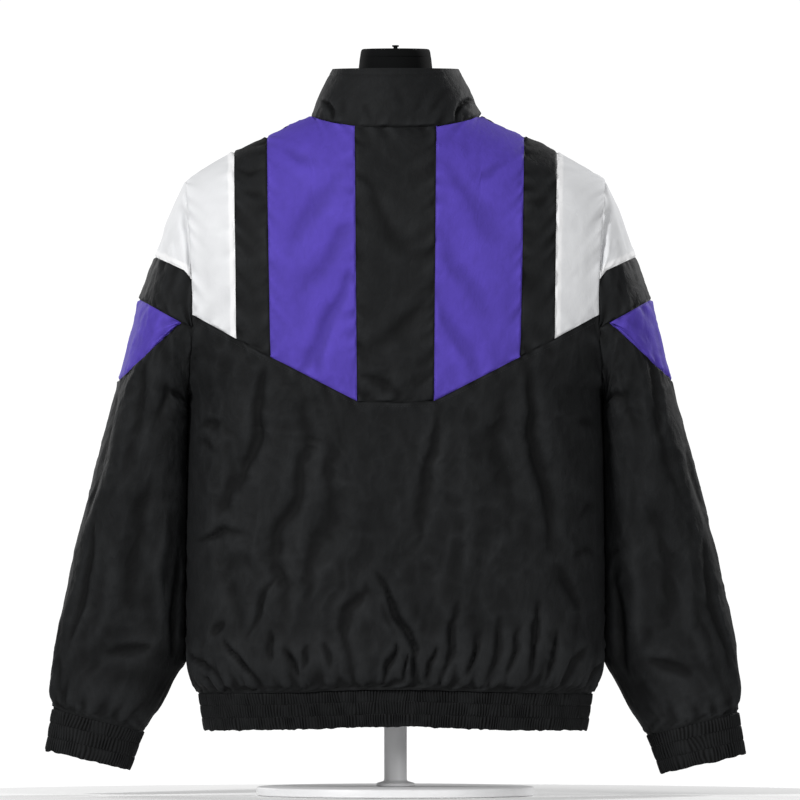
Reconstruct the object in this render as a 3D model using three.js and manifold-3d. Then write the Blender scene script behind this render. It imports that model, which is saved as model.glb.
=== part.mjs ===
// Windbreaker jacket with a colour-blocked yoke, worn by a limbless dress form on a round base.
// Millimetres, +Z up. The jacket faces -Y, the wearer's left is +X, and the base stands on Z = 0.
// Left-hand pieces are modelled at +X, and the right-hand ones are their mirror images.
import * as THREE from 'three';
import { mergeVertices } from 'three/addons/utils/BufferGeometryUtils.js';
import Module from 'manifold-3d';

const wasm = await Module();
wasm.setup();

// Cloth
const WALL = 1.6;
const COLLAR_WALL = 2.4;
const SEAM_GAP = 0.3;
const LOOSE_SEAM_GAP = 0.5; // at the neck, hem, cuffs and wedge, whose two edges curve apart
const ROUNDNESS = 2.4; // exponent of the body's oval sections
const GIRTH_HALF = { wide: 240, deep: 129 }; // typical section, which spaces out the columns

// Body: half width, and half depth at the back and at the front, by height
const BODY = [
  { z: 118, wide: 226.5, back: 118, front: 116 },
  { z: 128, wide: 232.5, back: 123, front: 121 },
  { z: 146, wide: 237.5, back: 127, front: 126 },
  { z: 170, wide: 240, back: 129, front: 129 },
  { z: 260, wide: 240.5, back: 129, front: 130 },
  { z: 380, wide: 240, back: 130, front: 129 },
  { z: 455, wide: 240, back: 131, front: 127 },
  { z: 490, wide: 256, back: 131, front: 126 },
  { z: 530, wide: 272, back: 129, front: 126 },
  { z: 560, wide: 275, back: 127, front: 127 },
];
const SHOULDER_START = 560; // above it the front and back, equally deep there, arch over to the crest
const MM_PER_RADIAN = 200; // below it, one radian of turn is this much height
const ARCH = 2.2; // exponent of the arch over the shoulder
const SHOULDER_TIP = { x: 241.5, z: 706 };
const UNDERARM = 455;

// Crest of the shoulder, from the middle of the neck outwards
const CREST = [
  { x: 0, z: 812 },
  { x: 46.8, z: 804 },
  { x: 97.6, z: 781 },
  { x: 148, z: 756.7 },
  { x: 185.7, z: 739.5 },
  SHOULDER_TIP,
  { x: 262, z: 684 },
];
const NECK_HALF = 97.6;
const NECK_SIDE_Z = 781;
const NECK_BACK_Z = 767.5;
const NECK_FRONT_Z = 745;
const SHOULDER_SEAM_FORWARD = 26; // at the shoulder tip; at the neck it meets the crest

// Armhole seam: half width of the body where the sleeve begins, by height
const ARMHOLE = [
  { z: 455, x: 240 },
  { z: 500, x: 235.5 },
  { z: 552, x: 233 },
  { z: 630, x: 236 },
  SHOULDER_TIP,
];

// Vertical yoke seams, each at its top and its foot, and the pointed seam below them
const YOKE_SEAMS = {
  centre: { topX: 46.8, topZ: 768, footX: 44, footZ: 453 },
  purple: { topX: 148, topZ: 757, footX: 143, footZ: 504 },
  strip: { topX: 185.7, topZ: 740, footX: 182.3, footZ: 524 },
};
const POINTED_SEAM = [
  { x: 0, z: 452 },
  { x: 44, z: 453 },
  { x: 143, z: 503.7 },
  { x: 182.3, z: 524.4 },
  { x: 233, z: 552 },
  { x: 260, z: 567 },
];

// Sleeve: inner and outer edge of each ring, half its depth and its middle, by length from the
// shoulder tip
const SLEEVE = [
  { run: 0, inX: 240, inZ: 455, outX: 242, outZ: 706, deep: 78, midY: 0 },
  { run: 26, inX: 239.5, inZ: 453, outX: 253, outZ: 683, deep: 80, midY: -1 },
  { run: 53, inX: 239, inZ: 451, outX: 263, outZ: 658, deep: 81, midY: -2 },
  { run: 80, inX: 238, inZ: 449, outX: 271, outZ: 632, deep: 82, midY: -4 },
  { run: 113, inX: 237, inZ: 446, outX: 283, outZ: 601, deep: 83, midY: -6 },
  { run: 146, inX: 236, inZ: 442, outX: 294, outZ: 570, deep: 83, midY: -9 },
  { run: 184, inX: 234, inZ: 436, outX: 304, outZ: 533, deep: 83, midY: -12 },
  { run: 237, inX: 232, inZ: 424, outX: 317, outZ: 482, deep: 81, midY: -16 },
  { run: 283, inX: 231, inZ: 408, outX: 329, outZ: 437, deep: 79, midY: -19 },
  { run: 355, inX: 231, inZ: 337, outX: 348, outZ: 367, deep: 74, midY: -23 },
  { run: 430, inX: 231, inZ: 261, outX: 366, outZ: 294, deep: 66, midY: -26 },
  { run: 505, inX: 233, inZ: 188, outX: 383, outZ: 221, deep: 56, midY: -28 },
  { run: 550, inX: 238, inZ: 155, outX: 393, outZ: 176, deep: 47, midY: -29 },
  { run: 580, inX: 248, inZ: 134, outX: 397, outZ: 146, deep: 40, midY: -30 },
  { run: 603, inX: 265, inZ: 105, outX: 398.5, outZ: 124, deep: 34, midY: -30 },
  { run: 627, inX: 289.6, inZ: 73.6, outX: 394, outZ: 99.6, deep: 29, midY: -30 },
];
const SLEEVE_END = 627;
const SLEEVE_OVAL = 2.15;
const SLEEVE_CLEARANCE = 1.4;
const CAP_UNDERCUT = 2; // the cap bends sharply down at the armhole, so its inside edge stands back
const RIGHT_SLEEVE_DROP = 4; // the wearer's right cuff hangs this much lower
const CUFF_FOOT = { inX: 307, inZ: 28.4, outX: 402.5, outZ: 50.6, deep: 26, midY: -30 };

// Sleeve seams, seen from behind as lines of height against distance from the middle
const CAP_SEAM = [{ x: 234, z: 593 }, { x: 242, z: 603 }, { x: 279, z: 620 }, { x: 310, z: 632 }];
const WEDGE_TOP = [{ x: 230, z: 535 }, { x: 245.8, z: 543 }, { x: 294, z: 569.5 }, { x: 330, z: 589 }];
const WEDGE_FOOT = [{ x: 230, z: 535 }, { x: 245.8, z: 543 }, { x: 317.6, z: 477.6 }, { x: 350, z: 448 }];

// Elastic: channels run along it, and gathers cross it
const CHANNELS = 3;
const CHANNEL_SWELL = 2.4;
const GATHER_HEIGHT = 0.9;
const HEM = { topHalf: 226, footHalf: 219, topDeep: 116, footDeep: 109, topZ: 118, footZ: 74.5, rise: 6 };
const HEM_GATHERS = 54;
const CUFF_GATHERS = 18;

// Cloth gathered into the hem band
const BODY_GATHER_DEPTH = 3.2;
const BODY_GATHER_FADE = 30;

// Largest creases of the lower back and the fronts: start, end, half width and depth, troughs negative
const CREASES = [
  { face: 1, x0: -30, z0: 142, x1: 30, z1: 372, half: 20, depth: -5 },
  { face: 1, x0: -44, z0: 440, x1: -26, z1: 280, half: 18, depth: -3 },
  { face: 1, x0: 140, z0: 480, x1: 205, z1: 320, half: 24, depth: -4 },
  { face: 1, x0: 205, z0: 330, x1: 172, z1: 180, half: 22, depth: 4 },
  { face: 1, x0: -150, z0: 480, x1: -178, z1: 280, half: 24, depth: -4 },
  { face: 1, x0: -178, z0: 290, x1: -216, z1: 190, half: 20, depth: 4 },
  { face: -1, x0: 150, z0: 560, x1: 190, z1: 330, half: 26, depth: -4 },
  { face: -1, x0: -140, z0: 540, x1: -196, z1: 300, half: 24, depth: -4 },
  { face: -1, x0: 60, z0: 160, x1: 110, z1: 360, half: 22, depth: -4 },
  { face: -1, x0: -70, z0: 150, x1: -96, z1: 390, half: 22, depth: -4 },
];

// Collar
const COLLAR = { topHalf: 72.6, topDeep: 67, topMidY: -8, topZ: 835, frontRise: 2, swell: 1.5 };

// Front zip
const ZIP_HALF_CHAIN = 3;
const ZIP_HALF_WIDTH = 12;
const TAPE_THICK = 1.2;
const CHAIN_THICK = 2.6;
const SLIDER_Z = 812;
const SLIDER = { wide: 9, tall: 13, plate: 1.5, post: 2.4 };
const BRIDGE = { wide: 1.8, tall: 9, out: 3.6, bar: 1 }; // arch on the slider that holds the pull tab
const PULL = { wide: 6, long: 30, thick: 1, out: 1.4, crossbar: 1.2, eyeWide: 3, eyeTall: 5.4 };

// Dress form: half width, half depth, middle and exponent of its sections, by height
const FORM = [
  { z: 176, wide: 160, deep: 98, midY: 0, oval: 2.3 },
  { z: 180, wide: 172, deep: 108, midY: 0, oval: 2.3 },
  { z: 192, wide: 180, deep: 114, midY: 0, oval: 2.3 },
  { z: 230, wide: 182, deep: 115, midY: 0, oval: 2.3 },
  { z: 300, wide: 171, deep: 108, midY: 0, oval: 2.2 },
  { z: 380, wide: 160, deep: 101, midY: 0, oval: 2.2 },
  { z: 440, wide: 167, deep: 104, midY: 0, oval: 2.2 },
  { z: 520, wide: 184, deep: 110, midY: 0, oval: 2.2 },
  { z: 600, wide: 198, deep: 106, midY: 0, oval: 2.2 },
  { z: 660, wide: 203, deep: 96, midY: 0, oval: 2.1 },
  { z: 700, wide: 199, deep: 84, midY: 0, oval: 2 },
  { z: 722, wide: 192, deep: 74, midY: 0, oval: 1.9 },
  { z: 736.7, wide: 182, deep: 66, midY: 0, oval: 1.8 },
  { z: 753.7, wide: 147.9, deep: 60, midY: -1, oval: 1.7 },
  { z: 771.2, wide: 111, deep: 55, midY: -2, oval: 1.7 },
  { z: 782, wide: 82, deep: 52, midY: -4, oval: 1.8 },
  { z: 792, wide: 66, deep: 52, midY: -6, oval: 1.9 },
  { z: 803, wide: 51, deep: 51, midY: -7, oval: 2 },
  { z: 816, wide: 45, deep: 50, midY: -8, oval: 2 },
  { z: 835, wide: 42.5, deep: 50, midY: -8, oval: 2 },
  { z: 849, wide: 41, deep: 49, midY: -8, oval: 2 },
];
const FORM_SIDES = 28;
const CAP_SIDES = 24;
const CAP_RADIUS = 40;
const CAP_TOP = 858;
const KNOB = { stem: 2.4, stemTop: 860.6, head: 4, top: 862.5 };
const POST = { radius: 13, flange: 22, flangeTop: 4, collarTop: 7, sides: 24 };
const BASE = { radius: 160, thick: 10, bevel: 2, sides: 40 };

// Helpers for tables and numbers
const clamp = (value, low, high) => Math.min(high, Math.max(low, value));
const mix = (a, b, t) => a + (b - a) * t;
const smooth = (low, high, value) => {
  const t = clamp((value - low) / (high - low), 0, 1);
  return t * t * (3 - 2 * t);
};
const signedPower = (value, power) => Math.sign(value) * Math.abs(value) ** power;

function rowBefore(table, key, at) {
  let row = 0;
  while (row < table.length - 2 && at > table[row + 1][key]) row += 1;
  return row;
}

function lineOf(table, key, column, at) {
  const row = rowBefore(table, key, at);
  const a = table[row];
  const b = table[row + 1];
  return mix(a[column], b[column], (at - a[key]) / (b[key] - a[key]));
}

// A curve through a table's rows that doesn't overshoot them
function curveOf(table, key, column, at) {
  const slopeAt = (row) => {
    if (row < 0 || row > table.length - 2) return null;
    return (table[row + 1][column] - table[row][column]) / (table[row + 1][key] - table[row][key]);
  };
  const tangentAt = (row) => {
    const before = slopeAt(row - 1);
    const after = slopeAt(row);
    if (before === null) return after;
    if (after === null) return before;
    return before * after <= 0 ? 0 : (2 * before * after) / (before + after);
  };
  const row = rowBefore(table, key, at);
  const a = table[row];
  const b = table[row + 1];
  const span = b[key] - a[key];
  const t = clamp((at - a[key]) / span, 0, 1);
  const t2 = t * t;
  const t3 = t2 * t;
  return (2 * t3 - 3 * t2 + 1) * a[column] + (t3 - 2 * t2 + t) * span * tangentAt(row)
    + (3 * t2 - 2 * t3) * b[column] + (t3 - t2) * span * tangentAt(row + 1);
}

const stops = (count) => Array.from({ length: count + 1 }, (_, i) => i / count);

// Body surface. Psi is the angle round the body from the Y axis, and turn runs up the back, over the
// crest at half a turn, and down the front.
const faceOf = (turn) => (turn < Math.PI / 2 ? 1 : -1);
const bodyWide = (z) => curveOf(BODY, 'z', 'wide', z);
const bodyDeep = (z, face) => curveOf(BODY, 'z', face > 0 ? 'back' : 'front', z);

function levelOf(turn) {
  if (turn < 0) return SHOULDER_START + turn * MM_PER_RADIAN;
  if (turn > Math.PI) return SHOULDER_START - (turn - Math.PI) * MM_PER_RADIAN;
  return SHOULDER_START;
}

function psiOfX(x, turn) {
  const z = levelOf(turn);
  const wide = bodyWide(z);
  const deep = bodyDeep(z, faceOf(turn));
  const y = deep * Math.max(0, 1 - (Math.abs(x) / wide) ** ROUNDNESS) ** (1 / ROUNDNESS);
  return Math.atan2(x, y);
}

function ovalRadius(psi, wide, deep, power) {
  const reach = (Math.abs(Math.sin(psi)) / wide) ** power + (Math.abs(Math.cos(psi)) / deep) ** power;
  return reach ** (-1 / power);
}

const crestZ = (x) => lineOf(CREST, 'x', 'z', Math.abs(x));

function turnOfZ(z, x, face) {
  if (z <= SHOULDER_START) {
    const fall = (z - SHOULDER_START) / MM_PER_RADIAN;
    return face > 0 ? fall : Math.PI - fall;
  }
  const part = clamp((z - SHOULDER_START) / (crestZ(x) - SHOULDER_START), 0, 1);
  const angle = Math.asin(part ** (ARCH / 2));
  return face > 0 ? angle : Math.PI - angle;
}

// Share of a quarter of the body's girth, from the middle of the back or front to the side
function girthShare(psi) {
  const steps = 24;
  let total = 0;
  let here = 0;
  let last = null;
  for (let i = 0; i <= steps; i += 1) {
    const angle = (i / steps) * Math.PI / 2;
    const radius = ovalRadius(angle, GIRTH_HALF.wide, GIRTH_HALF.deep, ROUNDNESS);
    const point = [radius * Math.sin(angle), radius * Math.cos(angle)];
    if (last) {
      const length = Math.hypot(point[0] - last[0], point[1] - last[1]);
      const share = clamp((Math.abs(psi) - (i - 1) / steps * Math.PI / 2) * steps * 2 / Math.PI, 0, 1);
      here += length * share;
      total += length;
    }
    last = point;
  }
  return Math.sign(psi) * here / total;
}

// Columns of the lower back and of the fronts: they pass through the kinks of the pointed seam and the
// side of the neck, and lie closer together where `crowd` is over 1
const COLUMN_ANCHORS = [
  { x: 44, z: 453, columns: 3, crowd: 1 },
  { x: NECK_HALF, z: NECK_SIDE_Z, columns: 4, crowd: 1.5 },
  { x: 143, z: 503.7, columns: 2, crowd: 1 },
  { x: 182.3, z: 524.4, columns: 2, crowd: 1 },
];
const OUTER_COLUMNS = 6;

function columnShares() {
  const shares = [0];
  const addColumns = (end, count, crowd) => {
    const begin = shares[shares.length - 1];
    for (let k = 1; k <= count; k += 1) shares.push(mix(begin, end, 1 - (1 - k / count) ** crowd));
  };
  for (const { x, z, columns, crowd } of COLUMN_ANCHORS) {
    const turn = turnOfZ(z, x, 1);
    addColumns(girthShare(psiOfX(x, turn) * (Math.PI / 2) / armholePsi(turn)), columns, crowd);
  }
  addColumns(1, OUTER_COLUMNS, 1);
  return shares;
}

// Column number at a given share of the quarter girth
function columnAt(share) {
  const size = Math.abs(share);
  let column = 0;
  while (column < COLUMN_SHARES.length - 2 && size > COLUMN_SHARES[column + 1]) column += 1;
  const low = COLUMN_SHARES[column];
  return column + (size - low) / (COLUMN_SHARES[column + 1] - low);
}

// Psi at which a given share of the quarter girth is reached
function psiOfShare(share) {
  let low = 0;
  let high = Math.PI / 2;
  for (let i = 0; i < 24; i += 1) {
    const middle = (low + high) / 2;
    if (girthShare(middle) < Math.abs(share)) low = middle;
    else high = middle;
  }
  return Math.sign(share) * (low + high) / 2;
}

// Angle round the body from the middle of the front, after a number of quarters of its girth
function ringAngle(quarters) {
  if (quarters <= 1) return psiOfShare(quarters);
  if (quarters <= 2) return Math.PI - psiOfShare(2 - quarters);
  if (quarters <= 3) return Math.PI + psiOfShare(quarters - 2);
  return 2 * Math.PI - psiOfShare(4 - quarters);
}

function creaseDepth(x, z, face) {
  let sum = 0;
  for (const crease of CREASES) {
    if (crease.face !== face) continue;
    const dx = crease.x1 - crease.x0;
    const dz = crease.z1 - crease.z0;
    const along = clamp(((x - crease.x0) * dx + (z - crease.z0) * dz) / (dx * dx + dz * dz), 0, 1);
    const away = Math.hypot(x - crease.x0 - dx * along, z - crease.z0 - dz * along);
    const fade = Math.sin(Math.PI * clamp(along, 0.04, 0.96));
    sum += crease.depth * fade * Math.exp(-((away / crease.half) ** 2));
  }
  return sum;
}

function foldDepth(psi, x, z, face) {
  if (z >= SHOULDER_START) return 0;
  const gather = Math.cos(columnAt(girthShare(psi)) * Math.PI)
    * BODY_GATHER_DEPTH * Math.exp(-((z - HEM.topZ) / BODY_GATHER_FADE));
  const clearOfZip = face < 0 ? smooth(ZIP_HALF_WIDTH, 45, Math.abs(x)) : 1;
  const clearOfArm = 1 - smooth(195, 236, Math.abs(x)) * smooth(150, 190, z);
  const clearOfYoke = 1 - smooth(470, SHOULDER_START, z);
  return (gather + creaseDepth(x, z, face)) * clearOfZip * clearOfArm * clearOfYoke;
}

// The body without its folds
function plainPoint(psi, turn) {
  const z0 = levelOf(turn);
  const face = faceOf(turn);
  const radius = ovalRadius(psi, bodyWide(z0), bodyDeep(z0, face), ROUNDNESS);
  const x = radius * Math.sin(psi);
  const y = radius * Math.cos(psi);
  if (turn <= 0 || turn >= Math.PI) return new THREE.Vector3(x, face * y, z0);
  const z = SHOULDER_START + (crestZ(x) - SHOULDER_START) * Math.abs(Math.sin(turn)) ** (2 / ARCH);
  return new THREE.Vector3(x, y * signedPower(Math.cos(turn), 2 / ARCH), z);
}

function bodyPoint(psi, turn) {
  const point = plainPoint(psi, turn);
  const face = faceOf(turn);
  const fold = foldDepth(psi, point.x, point.z, face);
  if (fold === 0) return point;
  const out = new THREE.Vector3(point.x / bodyWide(point.z) ** 2, point.y / bodyDeep(point.z, face) ** 2, 0);
  return point.addScaledVector(out.normalize(), fold);
}

// Seams on the body, each as an angle round it at a given turn, or as a turn at a given angle
const armholeX = (z) => curveOf(ARMHOLE, 'z', 'x', z);

function armholePsi(turn) {
  if (levelOf(turn) <= UNDERARM) return Math.PI / 2;
  let x = 236;
  for (let i = 0; i < 6; i += 1) {
    const z = plainPoint(psiOfX(x, turn), turn).z;
    x = armholeX(z);
  }
  return psiOfX(x, turn);
}

function yokeSeamPsi(seam, turn) {
  let x = seam.topX;
  for (let i = 0; i < 4; i += 1) {
    const z = plainPoint(psiOfX(x, turn), turn).z;
    x = mix(seam.footX, seam.topX, (z - seam.footZ) / (seam.topZ - seam.footZ));
  }
  return psiOfX(x, turn);
}

function pointedSeamTurn(psi) {
  let turn = turnOfZ(500, 0, 1);
  for (let i = 0; i < 6; i += 1) {
    turn = turnOfZ(lineOf(POINTED_SEAM, 'x', 'z', Math.abs(plainPoint(psi, turn).x)), 0, 1);
  }
  return turn;
}

const neckBackZ = (x) => mix(NECK_BACK_Z, NECK_SIDE_Z, (Math.abs(x) / NECK_HALF) ** 3);
const neckFrontZ = (x) => mix(NECK_FRONT_Z, NECK_SIDE_Z, (Math.abs(x) / NECK_HALF) ** 2);

// X of a point of the arched zone depends on psi alone
const archX = (psi) => Math.abs(plainPoint(psi, Math.PI / 4).x);
const backNeckTurn = (psi) => turnOfZ(neckBackZ(archX(psi)), archX(psi), 1);
const frontNeckTurn = (psi) => turnOfZ(neckFrontZ(archX(psi)), archX(psi), -1);

function shoulderSeamTurn(psi) {
  const x = archX(psi);
  const forward = SHOULDER_SEAM_FORWARD * clamp((x - NECK_HALF) / (SHOULDER_TIP.x - NECK_HALF), 0, 1);
  const reach = ovalRadius(psi, bodyWide(SHOULDER_START), bodyDeep(SHOULDER_START, -1), ROUNDNESS);
  const part = clamp(forward / (reach * Math.cos(psi)), 0, 0.9);
  return Math.PI / 2 + Math.asin(part ** (ARCH / 2));
}

const yokeTop = (psi) => (archX(psi) < NECK_HALF ? backNeckTurn(psi) : shoulderSeamTurn(psi));
const frontTop = (psi) => (archX(psi) < NECK_HALF ? frontNeckTurn(psi) : shoulderSeamTurn(psi));

const COLUMN_SHARES = columnShares();

// Hem seam, a little higher at the middle of the back and front
const hemRise = (psi) => HEM.rise * Math.cos(psi) ** 2;
const hemTurn = (face) => (psi) => turnOfZ(HEM.topZ + hemRise(psi), 0, face);

// A patch of the body between an inner and an outer edge, and between a foot and a top
function bodyPatch(innerPsi, outerPsi, footTurn, topTurn) {
  return (a, b) => {
    let turn = mix(footTurn(0.5), topTurn(0.5), b);
    let psi = 0;
    for (let i = 0; i < 7; i += 1) {
      psi = mix(innerPsi(turn), outerPsi(turn), a);
      turn = mix(footTurn(psi), topTurn(psi), b);
    }
    return bodyPoint(psi, turn);
  };
}

// A closed wall over a grid of surface points. The surface's second direction crossed with its first
// points outwards. Edges stand back from the seam. `raise` lifts the outer face alone, over an inside
// that is plain from edge to edge. `undercut` sets the inside of the first row's edge further back.
function wall(surface, across, along, options = {}) {
  const { thick = WALL, closed = false, gap = SEAM_GAP / 2, raise = null, undercut = null } = options;
  const columns = across.length;
  const rows = along.length;
  const step = 1e-3; // far enough apart for the surface's two directions
  const outer = [];
  const inner = [];
  for (let row = 0; row < rows; row += 1) {
    for (let column = 0; column < columns; column += 1) {
      const a = across[column];
      const b = along[row];
      const acrossWay = surface(a + step, b).sub(surface(a - step, b)).normalize();
      const alongWay = surface(a, b + step).sub(surface(a, b - step)).normalize();
      const normal = alongWay.clone().cross(acrossWay).normalize();
      const nextRowWay = acrossWay.clone().cross(normal).normalize();
      const nextColumnWay = normal.clone().cross(alongWay).normalize();
      const point = surface(a, b);
      if (row === 0) point.addScaledVector(nextRowWay, gap);
      if (row === rows - 1) point.addScaledVector(nextRowWay, -gap);
      if (!closed && column === 0) point.addScaledVector(nextColumnWay, gap);
      if (!closed && column === columns - 1) point.addScaledVector(nextColumnWay, -gap);
      if (!raise || row === 0 || row === rows - 1) {
        const inside = point.clone().addScaledVector(normal, -thick);
        if (row === 0 && undercut) inside.addScaledVector(nextRowWay, undercut(a));
        inner.push(inside);
      }
      outer.push(raise ? point.addScaledVector(normal, raise(a, b)) : point);
    }
  }
  return shell(outer, inner, columns, rows, closed);
}

function gridFaces(columns, rows, closed) {
  const faces = [];
  const at = (row, column) => row * columns + (column % columns);
  const lastColumn = closed ? columns : columns - 1;
  for (let row = 0; row < rows - 1; row += 1) {
    for (let column = 0; column < lastColumn; column += 1) {
      const p00 = at(row, column);
      const p01 = at(row, column + 1);
      const p10 = at(row + 1, column);
      const p11 = at(row + 1, column + 1);
      faces.push([p00, p10, p11], [p00, p11, p01]);
    }
  }
  return faces;
}

// Joins an outer grid of points and an inner one, which has as many rows or only the two end rows
function shell(outer, inner, columns, rows, closed) {
  const faces = gridFaces(columns, rows, closed);
  const innerRows = inner.length / columns;
  const insideOf = (point) => {
    if (innerRows === rows) return outer.length + point;
    const lastRow = point >= (rows - 1) * columns ? columns : 0;
    return outer.length + lastRow + (point % columns);
  };
  const free = new Map();
  for (const face of faces) {
    for (let i = 0; i < 3; i += 1) {
      const from = face[i];
      const to = face[(i + 1) % 3];
      if (free.has(`${to},${from}`)) free.delete(`${to},${from}`);
      else free.set(`${from},${to}`, [from, to]);
    }
  }
  const index = faces.flat();
  for (const [a, b, c] of gridFaces(columns, innerRows, closed)) {
    index.push(outer.length + a, outer.length + c, outer.length + b);
  }
  for (const [from, to] of free.values()) {
    index.push(to, from, insideOf(from));
    if (insideOf(from) !== insideOf(to)) index.push(to, insideOf(from), insideOf(to));
  }
  const positions = [...outer, ...inner].flatMap((p) => [p.x, p.y, p.z]);
  const geometry = new THREE.BufferGeometry();
  geometry.setAttribute('position', new THREE.Float32BufferAttribute(positions, 3));
  geometry.setIndex(index);
  return geometry;
}

// The same geometry on the other side of the body
function mirrored(geometry) {
  const copy = geometry.clone().applyMatrix4(new THREE.Matrix4().makeScale(-1, 1, 1));
  const index = copy.index.array;
  for (let i = 0; i < index.length; i += 3) [index[i], index[i + 1]] = [index[i + 1], index[i]];
  return copy;
}

// Back and yoke
const atX = (x) => (turn) => psiOfX(x, turn);
const seamAt = (seam) => (turn) => yokeSeamPsi(seam, turn);
const evenPsi = (turn, share) => psiOfShare(share) * armholePsi(turn) / (Math.PI / 2);

function backLower() {
  const heights = [0, 0.025, 0.06, 0.11, 0.18, 0.27, 0.37, 0.48, 0.6, 0.72, 0.86, 1];
  const surface = (a, b) => {
    let turn = hemTurn(1)(0);
    let psi = 0;
    for (let i = 0; i < 7; i += 1) {
      psi = evenPsi(turn, a);
      turn = mix(hemTurn(1)(psi), pointedSeamTurn(psi), b);
    }
    return bodyPoint(psi, turn);
  };
  const columns = [...COLUMN_SHARES.slice(1).reverse().map((share) => -share), ...COLUMN_SHARES];
  return wall(surface, columns, heights);
}

const YOKE_ROWS = 9;
const centreSeam = seamAt(YOKE_SEAMS.centre);
const centreSeamRight = (turn) => -centreSeam(turn);
const purpleSeam = seamAt(YOKE_SEAMS.purple);
const stripSeam = seamAt(YOKE_SEAMS.strip);

// The purple panel's columns by their X at the crest: one passes through the side of the neck
const purpleColumns = [46.8, 66, 81, 91, NECK_HALF, 112, 130, 148]
  .map((x) => psiOfX(x, Math.PI / 2))
  .map((psi, i, all) => (psi - all[0]) / (all[all.length - 1] - all[0]));

function yokePanel(innerPsi, outerPsi, columns, rows) {
  return wall(bodyPatch(innerPsi, outerPsi, pointedSeamTurn, yokeTop), columns, stops(rows));
}

function frontPanel() {
  const inner = atX(ZIP_HALF_WIDTH);
  const surface = (a, b) => {
    let turn = mix(Math.PI / 2, hemTurn(-1)(0), b);
    let psi = 0;
    for (let i = 0; i < 9; i += 1) {
      psi = mix(inner(turn), armholePsi(turn), psiOfShare(a) / (Math.PI / 2));
      turn = mix(frontTop(psi), hemTurn(-1)(psi), b);
    }
    return bodyPoint(psi, turn);
  };
  const heights = [0, 0.05, 0.11, 0.18, 0.26, 0.36, 0.48, 0.6, 0.72, 0.82, 0.89, 0.94, 0.975, 1];
  return wall(surface, COLUMN_SHARES, heights);
}

// Sleeve surface. The angle starts at the outer edge and goes round by the back, and run is the length
// along the outer edge. The first ring is the armhole seam itself.
function armholePoint(angle) {
  const z = mix(UNDERARM, SHOULDER_TIP.z, (1 + Math.cos(angle)) / 2);
  const face = Math.sin(angle) >= 0 ? 1 : -1;
  const x = armholeX(z);
  const turn = turnOfZ(z, x, face);
  const point = bodyPoint(psiOfX(x, turn), turn);
  return new THREE.Vector3(x, point.y, z);
}

function clearX(y, z) {
  const face = y >= 0 ? 1 : -1;
  const level = Math.min(z, SHOULDER_START);
  const deep = bodyDeep(level, face);
  const wide = bodyWide(level) * Math.max(0, 1 - (Math.abs(y) / deep) ** ROUNDNESS) ** (1 / ROUNDNESS);
  return z > UNDERARM ? Math.min(wide, armholeX(z)) : wide;
}

function ringPoint(angle, ring) {
  const c = signedPower(Math.cos(angle), 2 / SLEEVE_OVAL);
  const s = signedPower(Math.sin(angle), 2 / SLEEVE_OVAL);
  return new THREE.Vector3(
    (ring.outX + ring.inX) / 2 + c * (ring.outX - ring.inX) / 2,
    ring.midY + s * ring.deep,
    (ring.outZ + ring.inZ) / 2 + c * (ring.outZ - ring.inZ) / 2,
  );
}

function sleeveRing(run, drop) {
  const ring = {};
  for (const key of Object.keys(SLEEVE[0])) ring[key] = curveOf(SLEEVE, 'run', key, run);
  const lower = drop * smooth(150, SLEEVE_END, run);
  ring.inZ -= lower;
  ring.outZ -= lower;
  return ring;
}

function sleevePoint(angle, run, drop = 0) {
  const at = clamp(run, 0, SLEEVE_END);
  const point = ringPoint(angle, sleeveRing(at, drop));
  const fade = 1 - smooth(0, 90, at);
  if (fade > 0) {
    const offset = armholePoint(angle).sub(ringPoint(angle, sleeveRing(0, 0)));
    point.addScaledVector(offset, fade);
  }
  const clearance = SLEEVE_CLEARANCE * smooth(0, 40, at) + SEAM_GAP;
  point.x = Math.max(point.x, clearX(point.y, point.z) + clearance * smooth(0, 1, at));
  point.z -= Math.max(0, run - SLEEVE_END);
  return point;
}

// Run at which a sleeve line crosses a seam that is given as height against X
function seamRun(seam, angle) {
  const above = (run) => {
    const point = sleevePoint(angle, run);
    return point.z > lineOf(seam, 'x', 'z', point.x);
  };
  if (!above(0)) return 0;
  let low = 0;
  let high = 330;
  for (let i = 0; i < 26; i += 1) {
    const middle = (low + high) / 2;
    if (above(middle)) low = middle;
    else high = middle;
  }
  return (low + high) / 2;
}

// Largest angle at which the strip between two seams is still at least `least` wide
function stripAngle(topSeam, footSeam, least, face) {
  let low = 0;
  let high = Math.PI;
  for (let i = 0; i < 30; i += 1) {
    const middle = (low + high) / 2;
    const top = topSeam ? seamRun(topSeam, face * middle) : 0;
    if (seamRun(footSeam, face * middle) - top > least) low = middle;
    else high = middle;
  }
  return low;
}

const TIP_WIDTH = 6;
const TIP_COLUMN = 0.07; // least angle between the tip and the next column
const SLEEVE_SIDES = 24;
const ringAngles = Array.from({ length: SLEEVE_SIDES }, (_, i) => (i / SLEEVE_SIDES) * 2 * Math.PI);

// A strip of the sleeve from its front tip over the outer edge to its back tip
function sleeveStrip(topSeam, footSeam, rows, options = {}) {
  const back = stripAngle(topSeam, footSeam, TIP_WIDTH, 1);
  const front = -stripAngle(topSeam, footSeam, TIP_WIDTH, -1);
  const between = [...ringAngles.map((angle) => angle - 2 * Math.PI), ...ringAngles]
    .filter((angle) => angle > front + TIP_COLUMN && angle < back - TIP_COLUMN);
  const surface = (angle, b) => {
    const top = topSeam ? seamRun(topSeam, angle) : 0;
    return sleevePoint(angle, mix(top, seamRun(footSeam, angle), b));
  };
  return wall(surface, [front, ...between, back], stops(rows), options);
}

const capUndercut = (angle) => CAP_UNDERCUT * Math.max(0, Math.cos(angle));

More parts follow.
